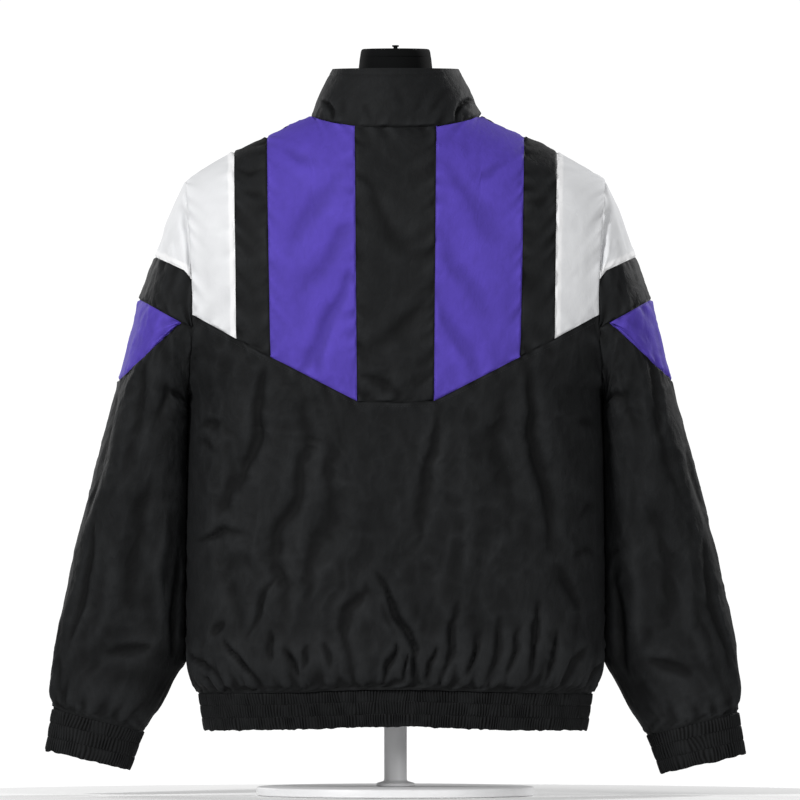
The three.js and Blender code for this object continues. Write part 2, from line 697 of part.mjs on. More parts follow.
function sleeveLower(drop) {
  const rows = [0, 0.06, 0.13, 0.22, 0.33, 0.45, 0.57, 0.69, 0.79, 0.87, 0.92, 0.96, 1];
  const surface = (angle, b) => {
    const start = Math.max(seamRun(WEDGE_FOOT, angle), seamRun(WEDGE_TOP, angle));
    return sleevePoint(angle, mix(start, SLEEVE_END, b), drop);
  };
  return wall(surface, ringAngles, rows, { closed: true });
}

// Elastic bands. Each channel swells between its two grooves, and gathers cross all of them.
// On an open band they die out at its two ends.
function elasticRaise(gathers, open = false) {
  return (a, b) => {
    const channel = Math.abs(Math.sin(b * CHANNELS * Math.PI));
    const gather = Math.cos(a * gathers * 2 * Math.PI) * GATHER_HEIGHT * Math.min(1, 0.35 + channel);
    const fromEnd = Math.min(a, 1 - a) * gathers * 2;
    return (CHANNEL_SWELL * channel + gather) * (open ? smooth(0, 3, fromEnd) : 1);
  };
}

function cuff(drop) {
  const top = { ...sleeveRing(SLEEVE_END, drop) };
  const foot = { ...CUFF_FOOT, inZ: CUFF_FOOT.inZ - drop, outZ: CUFF_FOOT.outZ - drop };
  const surface = (a, b) => {
    const ring = {};
    for (const key of Object.keys(CUFF_FOOT)) ring[key] = mix(top[key], foot[key], b);
    ring.deep -= 1.5;
    return ringPoint(a * 2 * Math.PI, ring);
  };
  const angles = Array.from({ length: CUFF_GATHERS * 2 }, (_, i) => i / (CUFF_GATHERS * 2));
  return wall(surface, angles, stops(CHANNELS * 2), {
    closed: true, gap: LOOSE_SEAM_GAP / 2, raise: elasticRaise(CUFF_GATHERS),
  });
}

// Hem band, an open ring that ends at the zip. It goes from the front round by the wearer's left.
function hemBand() {
  const start = girthShare(Math.atan(ZIP_HALF_WIDTH / HEM.footDeep));
  const surface = (a, b) => {
    const angle = ringAngle(mix(start, 4 - start, a));
    const wide = mix(HEM.topHalf, HEM.footHalf, b);
    const deep = mix(HEM.topDeep, HEM.footDeep, b);
    const radius = ovalRadius(angle, wide, deep, ROUNDNESS);
    const z = mix(HEM.topZ, HEM.footZ, b) + HEM.rise * Math.cos(angle) ** 2;
    return new THREE.Vector3(radius * Math.sin(angle), -radius * Math.cos(angle), z);
  };
  return wall(surface, stops(HEM_GATHERS * 2), stops(CHANNELS * 2), {
    gap: LOOSE_SEAM_GAP / 2, raise: elasticRaise(HEM_GATHERS, true),
  });
}

// Collar, from its neck seam to its top edge
function collarPoint(angle, part) {
  const psiSide = Math.sin(angle) * NECK_HALF;
  const face = Math.cos(angle) > 0 ? -1 : 1;
  const z = face > 0 ? neckBackZ(psiSide) : neckFrontZ(psiSide);
  const turn = turnOfZ(z, psiSide, face);
  const foot = bodyPoint(psiOfX(psiSide, turn), turn);
  const top = new THREE.Vector3(
    COLLAR.topHalf * Math.sin(angle),
    COLLAR.topMidY - COLLAR.topDeep * Math.cos(angle),
    COLLAR.topZ + COLLAR.frontRise * Math.max(0, Math.cos(angle)),
  );
  const point = foot.lerp(top, part);
  const swell = COLLAR.swell * Math.sin(Math.PI * clamp(part, 0, 1));
  point.x += swell * Math.sin(angle);
  point.y -= swell * Math.cos(angle);
  return point;
}

function collar() {
  const surface = (a, b) => {
    const start = Math.asin(ZIP_HALF_WIDTH / mix(COLLAR.topHalf, NECK_HALF, b));
    return collarPoint(mix(start, 2 * Math.PI - start, a), 1 - b);
  };
  return wall(surface, stops(40), stops(3), { thick: COLLAR_WALL, gap: LOOSE_SEAM_GAP - 0.1 });
}

// Zip. Its middle line follows the hem band, the fronts and the collar.
function zipLine() {
  const line = [];
  const foot = HEM.footZ + HEM.rise;
  const top = HEM.topZ + HEM.rise;
  for (const b of [0, 0.5, 1]) {
    line.push({ y: -mix(HEM.footDeep, HEM.topDeep, b) - CHANNEL_SWELL / 2, z: mix(foot, top, b) + 0.1 });
  }
  for (const z of [140, 170, 220, 290, 370, 455, 520, 560, 600, 640, 675, 705, 728, NECK_FRONT_Z]) {
    line.push({ y: bodyPoint(0, turnOfZ(z, 0, -1)).y, z });
  }
  for (const part of [0.25, 0.5, 0.75, 0.985]) {
    const point = collarPoint(0, part);
    line.push({ y: point.y, z: point.z });
  }
  return line;
}

// A strip of the zip between two X values, set back from the line by `inset`, up to a given height
function zipStrip(fromX, toX, inset, thick, topZ) {
  const line = zipLine().filter((p) => p.z < topZ - 1);
  const last = zipLine().find((p) => p.z >= topZ - 1);
  if (last) {
    const before = line[line.length - 1];
    const part = (topZ - before.z) / (last.z - before.z);
    line.push({ y: mix(before.y, last.y, part), z: topZ });
  }
  const sides = [fromX, toX];
  const outer = [];
  const inner = [];
  for (let i = 0; i < line.length; i += 1) {
    const a = line[Math.max(0, i - 1)];
    const b = line[Math.min(line.length - 1, i + 1)];
    const along = new THREE.Vector2(b.y - a.y, b.z - a.z).normalize();
    const out = new THREE.Vector2(-along.y, along.x);
    for (const x of sides) {
      outer.push(new THREE.Vector3(x, line[i].y - out.x * inset, line[i].z - out.y * inset));
      const back = inset + thick;
      inner.push(new THREE.Vector3(x, line[i].y - out.x * back, line[i].z - out.y * back));
    }
  }
  return flippedIfInsideOut(shell(outer, inner, 2, line.length, false));
}

function flippedIfInsideOut(geometry) {
  const p = geometry.attributes.position;
  const index = geometry.index.array;
  const [a, b, c] = [new THREE.Vector3(), new THREE.Vector3(), new THREE.Vector3()];
  let volume = 0;
  for (let i = 0; i < index.length; i += 3) {
    a.fromBufferAttribute(p, index[i]);
    b.fromBufferAttribute(p, index[i + 1]);
    c.fromBufferAttribute(p, index[i + 2]);
    volume += a.dot(b.cross(c));
  }
  if (volume < 0) {
    for (let i = 0; i < index.length; i += 3) [index[i], index[i + 1]] = [index[i + 1], index[i]];
  }
  return geometry;
}

// Solids joined by boolean operations
function toManifold(geometry) {
  const bare = geometry.clone();
  bare.deleteAttribute('normal');
  bare.deleteAttribute('uv');
  const merged = mergeVertices(bare, 1e-4);
  return new wasm.Manifold(new wasm.Mesh({
    numProp: 3,
    vertProperties: new Float32Array(merged.attributes.position.array),
    triVerts: new Uint32Array(merged.index.array),
  }));
}

function toGeometry(solid) {
  const mesh = solid.getMesh();
  const geometry = new THREE.BufferGeometry();
  geometry.setAttribute('position', new THREE.Float32BufferAttribute(mesh.vertProperties, 3));
  geometry.setIndex([...mesh.triVerts]);
  return geometry;
}

const block = (wide, deep, tall, x, y, z) => toManifold(
  new THREE.BoxGeometry(wide, deep, tall).translate(x, y, z),
);

// Slider: two plates joined by a post above the chain's end, with a bridge in front for the pull tab.
// It is modelled upright about its own middle and then leant like the collar.
const SLIDER_FACE = -(CHAIN_THICK / 2 + SEAM_GAP + SLIDER.plate);

function sliderGeometry() {
  const { wide, tall, plate, post } = SLIDER;
  const room = CHAIN_THICK + 2 * SEAM_GAP;
  let solid = block(wide, plate, tall, 0, SLIDER_FACE + plate / 2, 0);
  solid = solid.add(block(wide, plate, tall, 0, -SLIDER_FACE - plate / 2, 0));
  solid = solid.add(block(post, room + plate, 3, 0, 0, tall / 2 - 1.5));
  const legDeep = BRIDGE.out + 0.4;
  const legY = SLIDER_FACE - BRIDGE.out + legDeep / 2;
  const legZ = (BRIDGE.tall - BRIDGE.bar) / 2;
  for (const side of [-1, 1]) {
    solid = solid.add(block(BRIDGE.wide, legDeep, BRIDGE.bar, 0, legY, side * legZ));
  }
  const barY = SLIDER_FACE - BRIDGE.out + BRIDGE.bar / 2;
  return toGeometry(solid.add(block(BRIDGE.wide, BRIDGE.bar, BRIDGE.tall, 0, barY, 0)));
}

// Pull tab: a flat tongue that hangs by its crossbar, which lies under the bridge
function pullGeometry() {
  const { wide, long, thick, crossbar, eyeWide, eyeTall } = PULL;
  const outline = new THREE.Shape();
  outline.moveTo(-wide / 2, crossbar / 2);
  outline.lineTo(-wide / 2, -long + wide / 2);
  outline.absarc(0, -long + wide / 2, wide / 2, Math.PI, 2 * Math.PI, false);
  outline.lineTo(wide / 2, crossbar / 2);
  const eye = new THREE.Path();
  eye.moveTo(-eyeWide / 2, -crossbar / 2 - eyeTall);
  eye.lineTo(-eyeWide / 2, -crossbar / 2);
  eye.lineTo(eyeWide / 2, -crossbar / 2);
  eye.lineTo(eyeWide / 2, -crossbar / 2 - eyeTall);
  outline.holes.push(eye);
  return new THREE.ExtrudeGeometry(outline, { depth: thick, bevelEnabled: false, curveSegments: 8 })
    .translate(0, 0, -thick / 2)
    .rotateX(Math.PI / 2)
    .translate(0, SLIDER_FACE - PULL.out, 0);
}

// Place and lean of the slider on the zip
function sliderPlace() {
  const line = zipLine();
  const above = line.findIndex((p) => p.z > SLIDER_Z);
  const a = line[above - 1];
  const b = line[above];
  const part = (SLIDER_Z - a.z) / (b.z - a.z);
  const lean = Math.atan2(b.y - a.y, b.z - a.z);
  return { y: mix(a.y, b.y, part), z: SLIDER_Z, lean };
}

// Dress form: a stack of oval sections, closed by flat ends
function formGeometry() {
  const positions = [];
  const index = [];
  for (const level of FORM) {
    for (let side = 0; side < FORM_SIDES; side += 1) {
      const angle = (side / FORM_SIDES) * 2 * Math.PI;
      const x = level.wide * signedPower(Math.cos(angle), 2 / level.oval);
      const y = level.midY + level.deep * signedPower(Math.sin(angle), 2 / level.oval);
      positions.push(x, y, level.z);
    }
  }
  const top = FORM[FORM.length - 1];
  for (const end of [FORM[0], top]) positions.push(0, end.midY, end.z);
  const footMiddle = FORM.length * FORM_SIDES;
  const lastRing = (FORM.length - 1) * FORM_SIDES;
  for (let side = 0; side < FORM_SIDES; side += 1) {
    const next = (side + 1) % FORM_SIDES;
    for (let level = 0; level < FORM.length - 1; level += 1) {
      const low = level * FORM_SIDES;
      const high = low + FORM_SIDES;
      index.push(low + side, low + next, high + next, low + side, high + next, high + side);
    }
    index.push(footMiddle, next, side);
    index.push(footMiddle + 1, lastRing + side, lastRing + next);
  }
  const geometry = new THREE.BufferGeometry();
  geometry.setAttribute('position', new THREE.Float32BufferAttribute(positions, 3));
  geometry.setIndex(index);
  return geometry;
}

// A turned piece about the Z axis, from a profile of radius and height
const turned = (profile, sides) => new THREE.LatheGeometry(
  profile.map(([radius, z]) => new THREE.Vector2(radius, z)),
  sides,
).rotateX(Math.PI / 2);

function capGeometry() {
  const neck = FORM[FORM.length - 1];
  const foot = neck.z + SEAM_GAP;
  const profile = [
    [0, foot], [CAP_RADIUS, foot], [CAP_RADIUS + 0.4, foot + 1.5], [CAP_RADIUS - 1, CAP_TOP - 1.5],
    [CAP_RADIUS - 3, CAP_TOP], [KNOB.stem, CAP_TOP], [KNOB.stem, KNOB.stemTop],
    [KNOB.head, KNOB.stemTop], [KNOB.head, KNOB.top], [0, KNOB.top],
  ];
  return turned(profile, CAP_SIDES).scale(1, neck.deep / CAP_RADIUS, 1).translate(0, neck.midY, 0);
}

function postGeometry() {
  const foot = BASE.thick + SEAM_GAP;
  const top = FORM[0].z - SEAM_GAP;
  return turned([
    [0, foot], [POST.flange, foot], [POST.flange, BASE.thick + POST.flangeTop],
    [POST.radius, BASE.thick + POST.collarTop], [POST.radius, top], [0, top],
  ], POST.sides);
}

function baseGeometry() {
  const { radius, thick, bevel, sides } = BASE;
  return turned([
    [0, 0], [radius, 0], [radius, thick - bevel], [radius - bevel, thick], [0, thick],
  ], sides);
}

// Materials
const cloth = (color) => new THREE.MeshStandardMaterial({ color, roughness: 0.62, metalness: 0 });
const BLACK_NYLON = cloth(0x202122);
const PURPLE_NYLON = cloth(0x6150c2);
const WHITE_NYLON = cloth(0xecedef);
const ELASTIC = new THREE.MeshStandardMaterial({ color: 0x1b1c1d, roughness: 0.75, metalness: 0 });
const ZIP_TAPE = new THREE.MeshStandardMaterial({ color: 0x161718, roughness: 0.8, metalness: 0 });
const ZIP_MOULDED = new THREE.MeshStandardMaterial({ color: 0x1d1e20, roughness: 0.4, metalness: 0 });
const ZIP_METAL = new THREE.MeshStandardMaterial({ color: 0x3a3b3d, roughness: 0.35, metalness: 0.9 });
const FORM_COVER = new THREE.MeshStandardMaterial({ color: 0x1a1b1c, roughness: 0.85, metalness: 0 });
const STAND_ENAMEL = new THREE.MeshStandardMaterial({ color: 0xe6e7e9, roughness: 0.4, metalness: 0 });

// Assembly
const jacket = new THREE.Group();

function add(name, geometry, material) {
  const mesh = new THREE.Mesh(geometry, material);
  mesh.name = name;
  jacket.add(mesh);
  return mesh;
}

function addPair(name, geometry, material) {
  add(`${name}_left`, geometry, material);
  add(`${name}_right`, mirrored(geometry), material);
}

add('back_lower', backLower(), BLACK_NYLON);
add('yoke_centre', yokePanel(centreSeamRight, centreSeam, stops(6), YOKE_ROWS), BLACK_NYLON);
addPair('yoke_purple', yokePanel(centreSeam, purpleSeam, purpleColumns, YOKE_ROWS), PURPLE_NYLON);
addPair('yoke_strip', yokePanel(purpleSeam, stripSeam, stops(2), YOKE_ROWS), BLACK_NYLON);
addPair('yoke_white', yokePanel(stripSeam, armholePsi, stops(3), YOKE_ROWS), WHITE_NYLON);
addPair('front', frontPanel(), BLACK_NYLON);
add('collar', collar(), BLACK_NYLON);
add('hem_band', hemBand(), ELASTIC);
addPair('sleeve_cap', sleeveStrip(null, CAP_SEAM, 5, { undercut: capUndercut }), WHITE_NYLON);
addPair('sleeve_band', sleeveStrip(CAP_SEAM, WEDGE_TOP, 3), BLACK_NYLON);
addPair('sleeve_wedge', sleeveStrip(WEDGE_TOP, WEDGE_FOOT, 3, { gap: LOOSE_SEAM_GAP / 2 }), PURPLE_NYLON);
add('sleeve_lower_left', sleeveLower(0), BLACK_NYLON);
add('sleeve_lower_right', mirrored(sleeveLower(RIGHT_SLEEVE_DROP)), BLACK_NYLON);
add('cuff_left', cuff(0), ELASTIC);
add('cuff_right', mirrored(cuff(RIGHT_SLEEVE_DROP)), ELASTIC);

const collarTop = COLLAR.topZ;
const tape = zipStrip(ZIP_HALF_CHAIN + SEAM_GAP, ZIP_HALF_WIDTH - SEAM_GAP, 0.2, TAPE_THICK, collarTop);
addPair('zip_tape', tape, ZIP_TAPE);
const chainTop = SLIDER_Z + SLIDER.tall / 2 - 4;
add('zip_chain', zipStrip(-ZIP_HALF_CHAIN, ZIP_HALF_CHAIN, -0.5, CHAIN_THICK, chainTop), ZIP_MOULDED);

const place = sliderPlace();
const sliderGroup = new THREE.Group();
sliderGroup.position.set(0, place.y + CHAIN_THICK / 2 - 0.5, place.z);
sliderGroup.rotation.x = -place.lean;
jacket.add(sliderGroup);
for (const [name, geometry] of [['zip_slider', sliderGeometry()], ['zip_pull', pullGeometry()]]) {
  const mesh = new THREE.Mesh(geometry, ZIP_METAL);
  mesh.name = name;
  sliderGroup.add(mesh);
}

add('form_torso', formGeometry(), FORM_COVER);
add('form_cap', capGeometry(), FORM_COVER);
add('form_post', postGeometry(), STAND_ENAMEL);
add('form_base', baseGeometry(), STAND_ENAMEL);

export default jacket;
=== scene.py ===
"""Windbreaker jacket with a colour-blocked yoke on a limbless dress form.

The cloth's forms follow the same tables as the solids, in millimetres: the jacket faces -Y, the wearer's
left is +X, and the stand's base rests on Z = 0. Finished pieces are in metres.
"""
import math

import bpy
import numpy as np
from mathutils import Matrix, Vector


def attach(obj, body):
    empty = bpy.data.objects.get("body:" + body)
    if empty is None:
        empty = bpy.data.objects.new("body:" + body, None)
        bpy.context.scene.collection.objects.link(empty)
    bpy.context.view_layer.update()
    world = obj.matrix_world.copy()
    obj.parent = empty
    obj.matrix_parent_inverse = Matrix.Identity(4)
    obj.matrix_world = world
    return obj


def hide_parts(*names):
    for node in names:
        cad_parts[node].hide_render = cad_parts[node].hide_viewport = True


MM = 0.001
PI = math.pi


def table(columns, *rows):
    """A table as one array for each named column."""
    return {name: np.array([row[i] for row in rows], float) for i, name in enumerate(columns.split())}


# Body: half width, and half depth at the back and at the front, by height
BODY = table(
    "z wide back front",
    (118, 226.5, 118, 116),
    (128, 232.5, 123, 121),
    (146, 237.5, 127, 126),
    (170, 240, 129, 129),
    (260, 240.5, 129, 130),
    (380, 240, 130, 129),
    (455, 240, 131, 127),
    (490, 256, 131, 126),
    (530, 272, 129, 126),
    (560, 275, 127, 127),
)
ROUNDNESS = 2.4
GIRTH_HALF = (240, 129)
SHOULDER_START = 560.0
MM_PER_RADIAN = 200.0
ARCH = 2.2
UNDERARM = 455.0
SHOULDER_TIP = (241.5, 706.0)
CREST = table("x z", (0, 812), (46.8, 804), (97.6, 781), (148, 756.7), (185.7, 739.5), (241.5, 706), (262, 684))
NECK_HALF = 97.6
NECK_SIDE_Z = 781.0
NECK_BACK_Z = 767.5
NECK_FRONT_Z = 745.0
SHOULDER_SEAM_FORWARD = 26.0
ARMHOLE = table("z x", (455, 240), (500, 235.5), (552, 233), (630, 236), (706, 241.5))
YOKE_CENTRE = (46.8, 768, 44, 453)
YOKE_PURPLE = (148, 757, 143, 504)
YOKE_STRIP = (185.7, 740, 182.3, 524)
POINTED_SEAM = table("x z", (0, 452), (44, 453), (143, 503.7), (182.3, 524.4), (233, 552), (260, 567))

# Sleeve: inner and outer edge of each ring, half its depth and its middle, by length from the shoulder tip
SLEEVE = table(
    "run inX inZ outX outZ deep midY",
    (0, 240, 455, 242, 706, 78, 0),
    (26, 239.5, 453, 253, 683, 80, -1),
    (53, 239, 451, 263, 658, 81, -2),
    (80, 238, 449, 271, 632, 82, -4),
    (113, 237, 446, 283, 601, 83, -6),
    (146, 236, 442, 294, 570, 83, -9),
    (184, 234, 436, 304, 533, 83, -12),
    (237, 232, 424, 317, 482, 81, -16),
    (283, 231, 408, 329, 437, 79, -19),
    (355, 231, 337, 348, 367, 74, -23),
    (430, 231, 261, 366, 294, 66, -26),
    (505, 233, 188, 383, 221, 56, -28),
    (550, 238, 155, 393, 176, 47, -29),
    (580, 248, 134, 397, 146, 40, -30),
    (603, 265, 105, 398.5, 124, 34, -30),
    (627, 289.6, 73.6, 394, 99.6, 29, -30),
)
SLEEVE_END = 627.0
SLEEVE_OVAL = 2.15
SLEEVE_CLEARANCE = 1.4
RIGHT_DROP = 4.0
CAP_FOLD = 5.0
CUFF_FOOT = {"inX": 307, "inZ": 28.4, "outX": 402.5, "outZ": 50.6, "deep": 26, "midY": -30}
CAP_SEAM = table("x z", (234, 593), (242, 603), (279, 620), (310, 632))
WEDGE_TOP = table("x z", (230, 535), (245.8, 543), (294, 569.5), (330, 589))
WEDGE_FOOT = table("x z", (230, 535), (245.8, 543), (317.6, 477.6), (350, 448))

HEM = {"topHalf": 226, "footHalf": 219, "topDeep": 116, "footDeep": 109, "topZ": 118, "footZ": 74.5, "rise": 6}
CHANNELS = 3
COLLAR = {"topHalf": 72.6, "topDeep": 67, "topMidY": -8, "topZ": 835, "frontRise": 2, "swell": 1.5}
ZIP_HALF_CHAIN = 3.0
ZIP_HALF_WIDTH = 12.0
CHAIN_THICK = 2.6
SLIDER_Z = 812.0

# Dress form: half width, half depth, middle and exponent of its sections, by height
FORM = table(
    "z wide deep midY oval",
    (176, 160, 98, 0, 2.3),
    (180, 172, 108, 0, 2.3),
    (192, 180, 114, 0, 2.3),
    (230, 182, 115, 0, 2.3),
    (300, 171, 108, 0, 2.2),
    (380, 160, 101, 0, 2.2),
    (440, 167, 104, 0, 2.2),
    (520, 184, 110, 0, 2.2),
    (600, 198, 106, 0, 2.2),
    (660, 203, 96, 0, 2.1),
    (700, 199, 84, 0, 2),
    (722, 192, 74, 0, 1.9),
    (736.7, 182, 66, 0, 1.8),
    (753.7, 147.9, 60, -1, 1.7),
    (771.2, 111, 55, -2, 1.7),
    (782, 82, 52, -4, 1.8),
    (792, 66, 52, -6, 1.9),
    (803, 51, 51, -7, 2),
    (816, 45, 50, -8, 2),
    (835, 42.5, 50, -8, 2),
    (849, 41, 49, -8, 2),
)


# Numbers
def mix(a, b, t):
    return a + (b - a) * t


def smooth(low, high, value):
    t = np.clip((np.asarray(value, float) - low) / (high - low), 0, 1)
    return t * t * (3 - 2 * t)


def signed_power(value, power):
    return np.sign(value) * np.abs(value) ** power


def row_before(tab, key, at):
    return np.clip(np.searchsorted(tab[key], at, side="left") - 1, 0, len(tab[key]) - 2)


def line_of(tab, key, column, at):
    at = np.asarray(at, float)
    row = row_before(tab, key, at)
    x, y = tab[key], tab[column]
    return mix(y[row], y[row + 1], (at - x[row]) / (x[row + 1] - x[row]))


def curve_of(tab, key, column, at):
    """A curve through a table's rows that doesn't overshoot them."""
    at = np.asarray(at, float)
    x, y = tab[key], tab[column]
    slope = np.diff(y) / np.diff(x)
    product = slope[:-1] * slope[1:]
    total = np.where(product > 0, slope[:-1] + slope[1:], 1)
    tangent = np.concatenate([slope[:1], np.where(product > 0, 2 * product / total, 0), slope[-1:]])
    row = row_before(tab, key, at)
    span = x[row + 1] - x[row]
    t = np.clip((at - x[row]) / span, 0, 1)
    t2, t3 = t * t, t ** 3
    return (
        (2 * t3 - 3 * t2 + 1) * y[row]
        + (t3 - 2 * t2 + t) * span * tangent[row]
        + (3 * t2 - 2 * t3) * y[row + 1]
        + (t3 - t2) * span * tangent[row + 1]
    )


def noise(x, y, seed):
    """Smooth noise from -1 to 1 with one lump to each whole step."""
    lattice = np.random.RandomState(seed).rand(64, 64) * 2 - 1
    x, y = np.broadcast_arrays(np.asarray(x, float), np.asarray(y, float))
    xi, yi = np.floor(x).astype(int), np.floor(y).astype(int)
    fx, fy = x - xi, y - yi
    fx, fy = fx * fx * (3 - 2 * fx), fy * fy * (3 - 2 * fy)
    low = mix(lattice[xi % 64, yi % 64], lattice[(xi + 1) % 64, yi % 64], fx)
    high = mix(lattice[xi % 64, (yi + 1) % 64], lattice[(xi + 1) % 64, (yi + 1) % 64], fx)
    return mix(low, high, fy)


# Body surface. Psi is the angle round the body from the Y axis, and turn runs up the back, over the crest
# at half a turn, and down the front.
def face_of(turn):
    return np.where(np.asarray(turn) < PI / 2, 1.0, -1.0)


def body_wide(z):
    return curve_of(BODY, "z", "wide", z)


def body_deep(z, face):
    return np.where(np.asarray(face) > 0, curve_of(BODY, "z", "back", z), curve_of(BODY, "z", "front", z))


def level_of(turn):
    turn = np.asarray(turn, float)
    below_front = SHOULDER_START - (turn - PI) * MM_PER_RADIAN
    return np.where(turn < 0, SHOULDER_START + turn * MM_PER_RADIAN, np.where(turn > PI, below_front, SHOULDER_START))


def psi_of_x(x, turn):
    z = level_of(turn)
    wide = body_wide(z)
    deep = body_deep(z, face_of(turn))
    y = deep * np.maximum(0, 1 - (np.abs(x) / wide) ** ROUNDNESS) ** (1 / ROUNDNESS)
    return np.arctan2(x, y)


def oval_radius(psi, wide, deep, power):
    reach = (np.abs(np.sin(psi)) / wide) ** power + (np.abs(np.cos(psi)) / deep) ** power
    return reach ** (-1 / power)


def crest_z(x):
    return curve_of(CREST, "x", "z", np.abs(x))


def turn_of_z(z, x, face):
    z = np.asarray(z, float)
    fall = (z - SHOULDER_START) / MM_PER_RADIAN
    part = np.clip((z - SHOULDER_START) / (crest_z(x) - SHOULDER_START), 0, 1)
    up = np.where(z <= SHOULDER_START, fall, np.arcsin(part ** (ARCH / 2)))
    return np.where(np.asarray(face) > 0, up, PI - up)


def plain_point(psi, turn):
    psi, turn = np.broadcast_arrays(np.asarray(psi, float), np.asarray(turn, float))
    z0 = level_of(turn)
    face = face_of(turn)
    radius = oval_radius(psi, body_wide(z0), body_deep(z0, face), ROUNDNESS)
    x = radius * np.sin(psi)
    y = radius * np.cos(psi)
    arched = (turn > 0) & (turn < PI)
    lift = np.abs(np.sin(turn)) ** (2 / ARCH)
    z = np.where(arched, SHOULDER_START + (crest_z(x) - SHOULDER_START) * lift, z0)
    y = np.where(arched, y * signed_power(np.cos(turn), 2 / ARCH), face * y)
    return np.stack([x, y, z], axis=-1)


# Length round the typical section, from the middle of the back or front
GIRTH_PSI = np.linspace(0, PI / 2, 721)
_radius = oval_radius(GIRTH_PSI, GIRTH_HALF[0], GIRTH_HALF[1], ROUNDNESS)
_steps = np.hypot(np.diff(_radius * np.sin(GIRTH_PSI)), np.diff(_radius * np.cos(GIRTH_PSI)))
GIRTH_LENGTH = np.concatenate([[0], np.cumsum(_steps)])
QUARTER = GIRTH_LENGTH[-1]


def girth_length(psi):
    return np.sign(psi) * np.interp(np.abs(psi), GIRTH_PSI, GIRTH_LENGTH)


def psi_of_share(share):
    return np.sign(share) * np.interp(np.abs(share) * QUARTER, GIRTH_LENGTH, GIRTH_PSI)


def ring_angle(quarters):
    """Angle round the body from the middle of the front, after a number of quarters of its girth."""
    quarters = np.asarray(quarters, float)
    return np.select(
        [quarters <= 1, quarters <= 2, quarters <= 3],
        [psi_of_share(quarters), PI - psi_of_share(2 - quarters), PI + psi_of_share(quarters - 2)],
        2 * PI - psi_of_share(4 - quarters),
    )


def armhole_x(z):
    return curve_of(ARMHOLE, "z", "x", z)


def armhole_psi(turn):
    turn = np.asarray(turn, float)
    x = np.full(turn.shape, 236.0)
    for _ in range(6):
        x = armhole_x(plain_point(psi_of_x(x, turn), turn)[..., 2])
    return np.where(level_of(turn) <= UNDERARM, PI / 2, psi_of_x(x, turn))


def psi_in_armhole(share, turn, start_x=0.0):
    """Psi at a share of the quarter girth. Above the underarm the outer columns crowd towards the armhole."""
    start = psi_of_x(start_x, turn)
    plain = np.sign(share) * mix(start, PI / 2, np.abs(psi_of_share(share)) / (PI / 2))
    return plain - np.sign(share) * (PI / 2 - armhole_psi(turn)) * np.abs(share) ** 3


def seam_psi(seam):
    top_x, top_z, foot_x, foot_z = seam

    def psi_at(turn):
        turn = np.asarray(turn, float)
        x = np.full(turn.shape, float(top_x))
        for _ in range(4):
            z = plain_point(psi_of_x(x, turn), turn)[..., 2]
            x = mix(foot_x, top_x, (z - foot_z) / (top_z - foot_z))
        return psi_of_x(x, turn)

    return psi_at


def pointed_seam_turn(psi):
    turn = np.full(np.shape(psi), float(turn_of_z(500, 0, 1)))
    for _ in range(6):
        x = np.abs(plain_point(psi, turn)[..., 0])
        turn = turn_of_z(line_of(POINTED_SEAM, "x", "z", x), 0, 1)
    return turn


def neck_back_z(x):
    return mix(NECK_BACK_Z, NECK_SIDE_Z, (np.abs(x) / NECK_HALF) ** 3)


def neck_front_z(x):
    return mix(NECK_FRONT_Z, NECK_SIDE_Z, (np.abs(x) / NECK_HALF) ** 2)


def arch_x(psi):
    return np.abs(plain_point(psi, PI / 4)[..., 0])


def shoulder_seam_turn(psi):
    x = arch_x(psi)
    forward = SHOULDER_SEAM_FORWARD * np.clip((x - NECK_HALF) / (SHOULDER_TIP[0] - NECK_HALF), 0, 1)
    reach = oval_radius(psi, body_wide(SHOULDER_START), body_deep(SHOULDER_START, -1), ROUNDNESS)
    part = np.clip(forward / (reach * np.cos(psi)), 0, 0.9)
    return PI / 2 + np.arcsin(part ** (ARCH / 2))


def yoke_top(psi):
    x = arch_x(psi)
    return np.where(x < NECK_HALF, turn_of_z(neck_back_z(x), x, 1), shoulder_seam_turn(psi))


def front_top(psi):
    x = arch_x(psi)
    return np.where(x < NECK_HALF, turn_of_z(neck_front_z(x), x, -1), shoulder_seam_turn(psi))


def hem_turn(face):
    return lambda psi: turn_of_z(HEM["topZ"] + HEM["rise"] * np.cos(psi) ** 2, 0, face)


# Sleeve surface. The angle starts at the outer edge and goes round by the back, and run is the length
# along the outer edge.
def ring_point(angle, ring):
    c = signed_power(np.cos(angle), 2 / SLEEVE_OVAL)
    s = signed_power(np.sin(angle), 2 / SLEEVE_OVAL)
    return np.stack(
        [
            (ring["outX"] + ring["inX"]) / 2 + c * (ring["outX"] - ring["inX"]) / 2,
            ring["midY"] + s * ring["deep"],
            (ring["outZ"] + ring["inZ"]) / 2 + c * (ring["outZ"] - ring["inZ"]) / 2,
        ],
        axis=-1,
    )


def sleeve_ring(run, drop):
    ring = {key: curve_of(SLEEVE, "run", key, run) for key in SLEEVE if key != "run"}
    lower = drop * smooth(150, SLEEVE_END, run)
    ring["inZ"] = ring["inZ"] - lower
    ring["outZ"] = ring["outZ"] - lower
    return ring


def armhole_point(angle):
    z = mix(UNDERARM, SHOULDER_TIP[1], (1 + np.cos(angle)) / 2)
    face = np.where(np.sin(angle) >= 0, 1.0, -1.0)
    x = armhole_x(z)
    turn = turn_of_z(z, x, face)
    y = plain_point(psi_of_x(x, turn), turn)[..., 1]
    return np.stack([x, y, z], axis=-1)


def clear_x(y, z):
    face = np.where(y >= 0, 1.0, -1.0)
    level = np.minimum(z, SHOULDER_START)
    deep = body_deep(level, face)
    wide = body_wide(level) * np.maximum(0, 1 - (np.abs(y) / deep) ** ROUNDNESS) ** (1 / ROUNDNESS)
    return np.where(z > UNDERARM, np.minimum(wide, armhole_x(z)), wide)


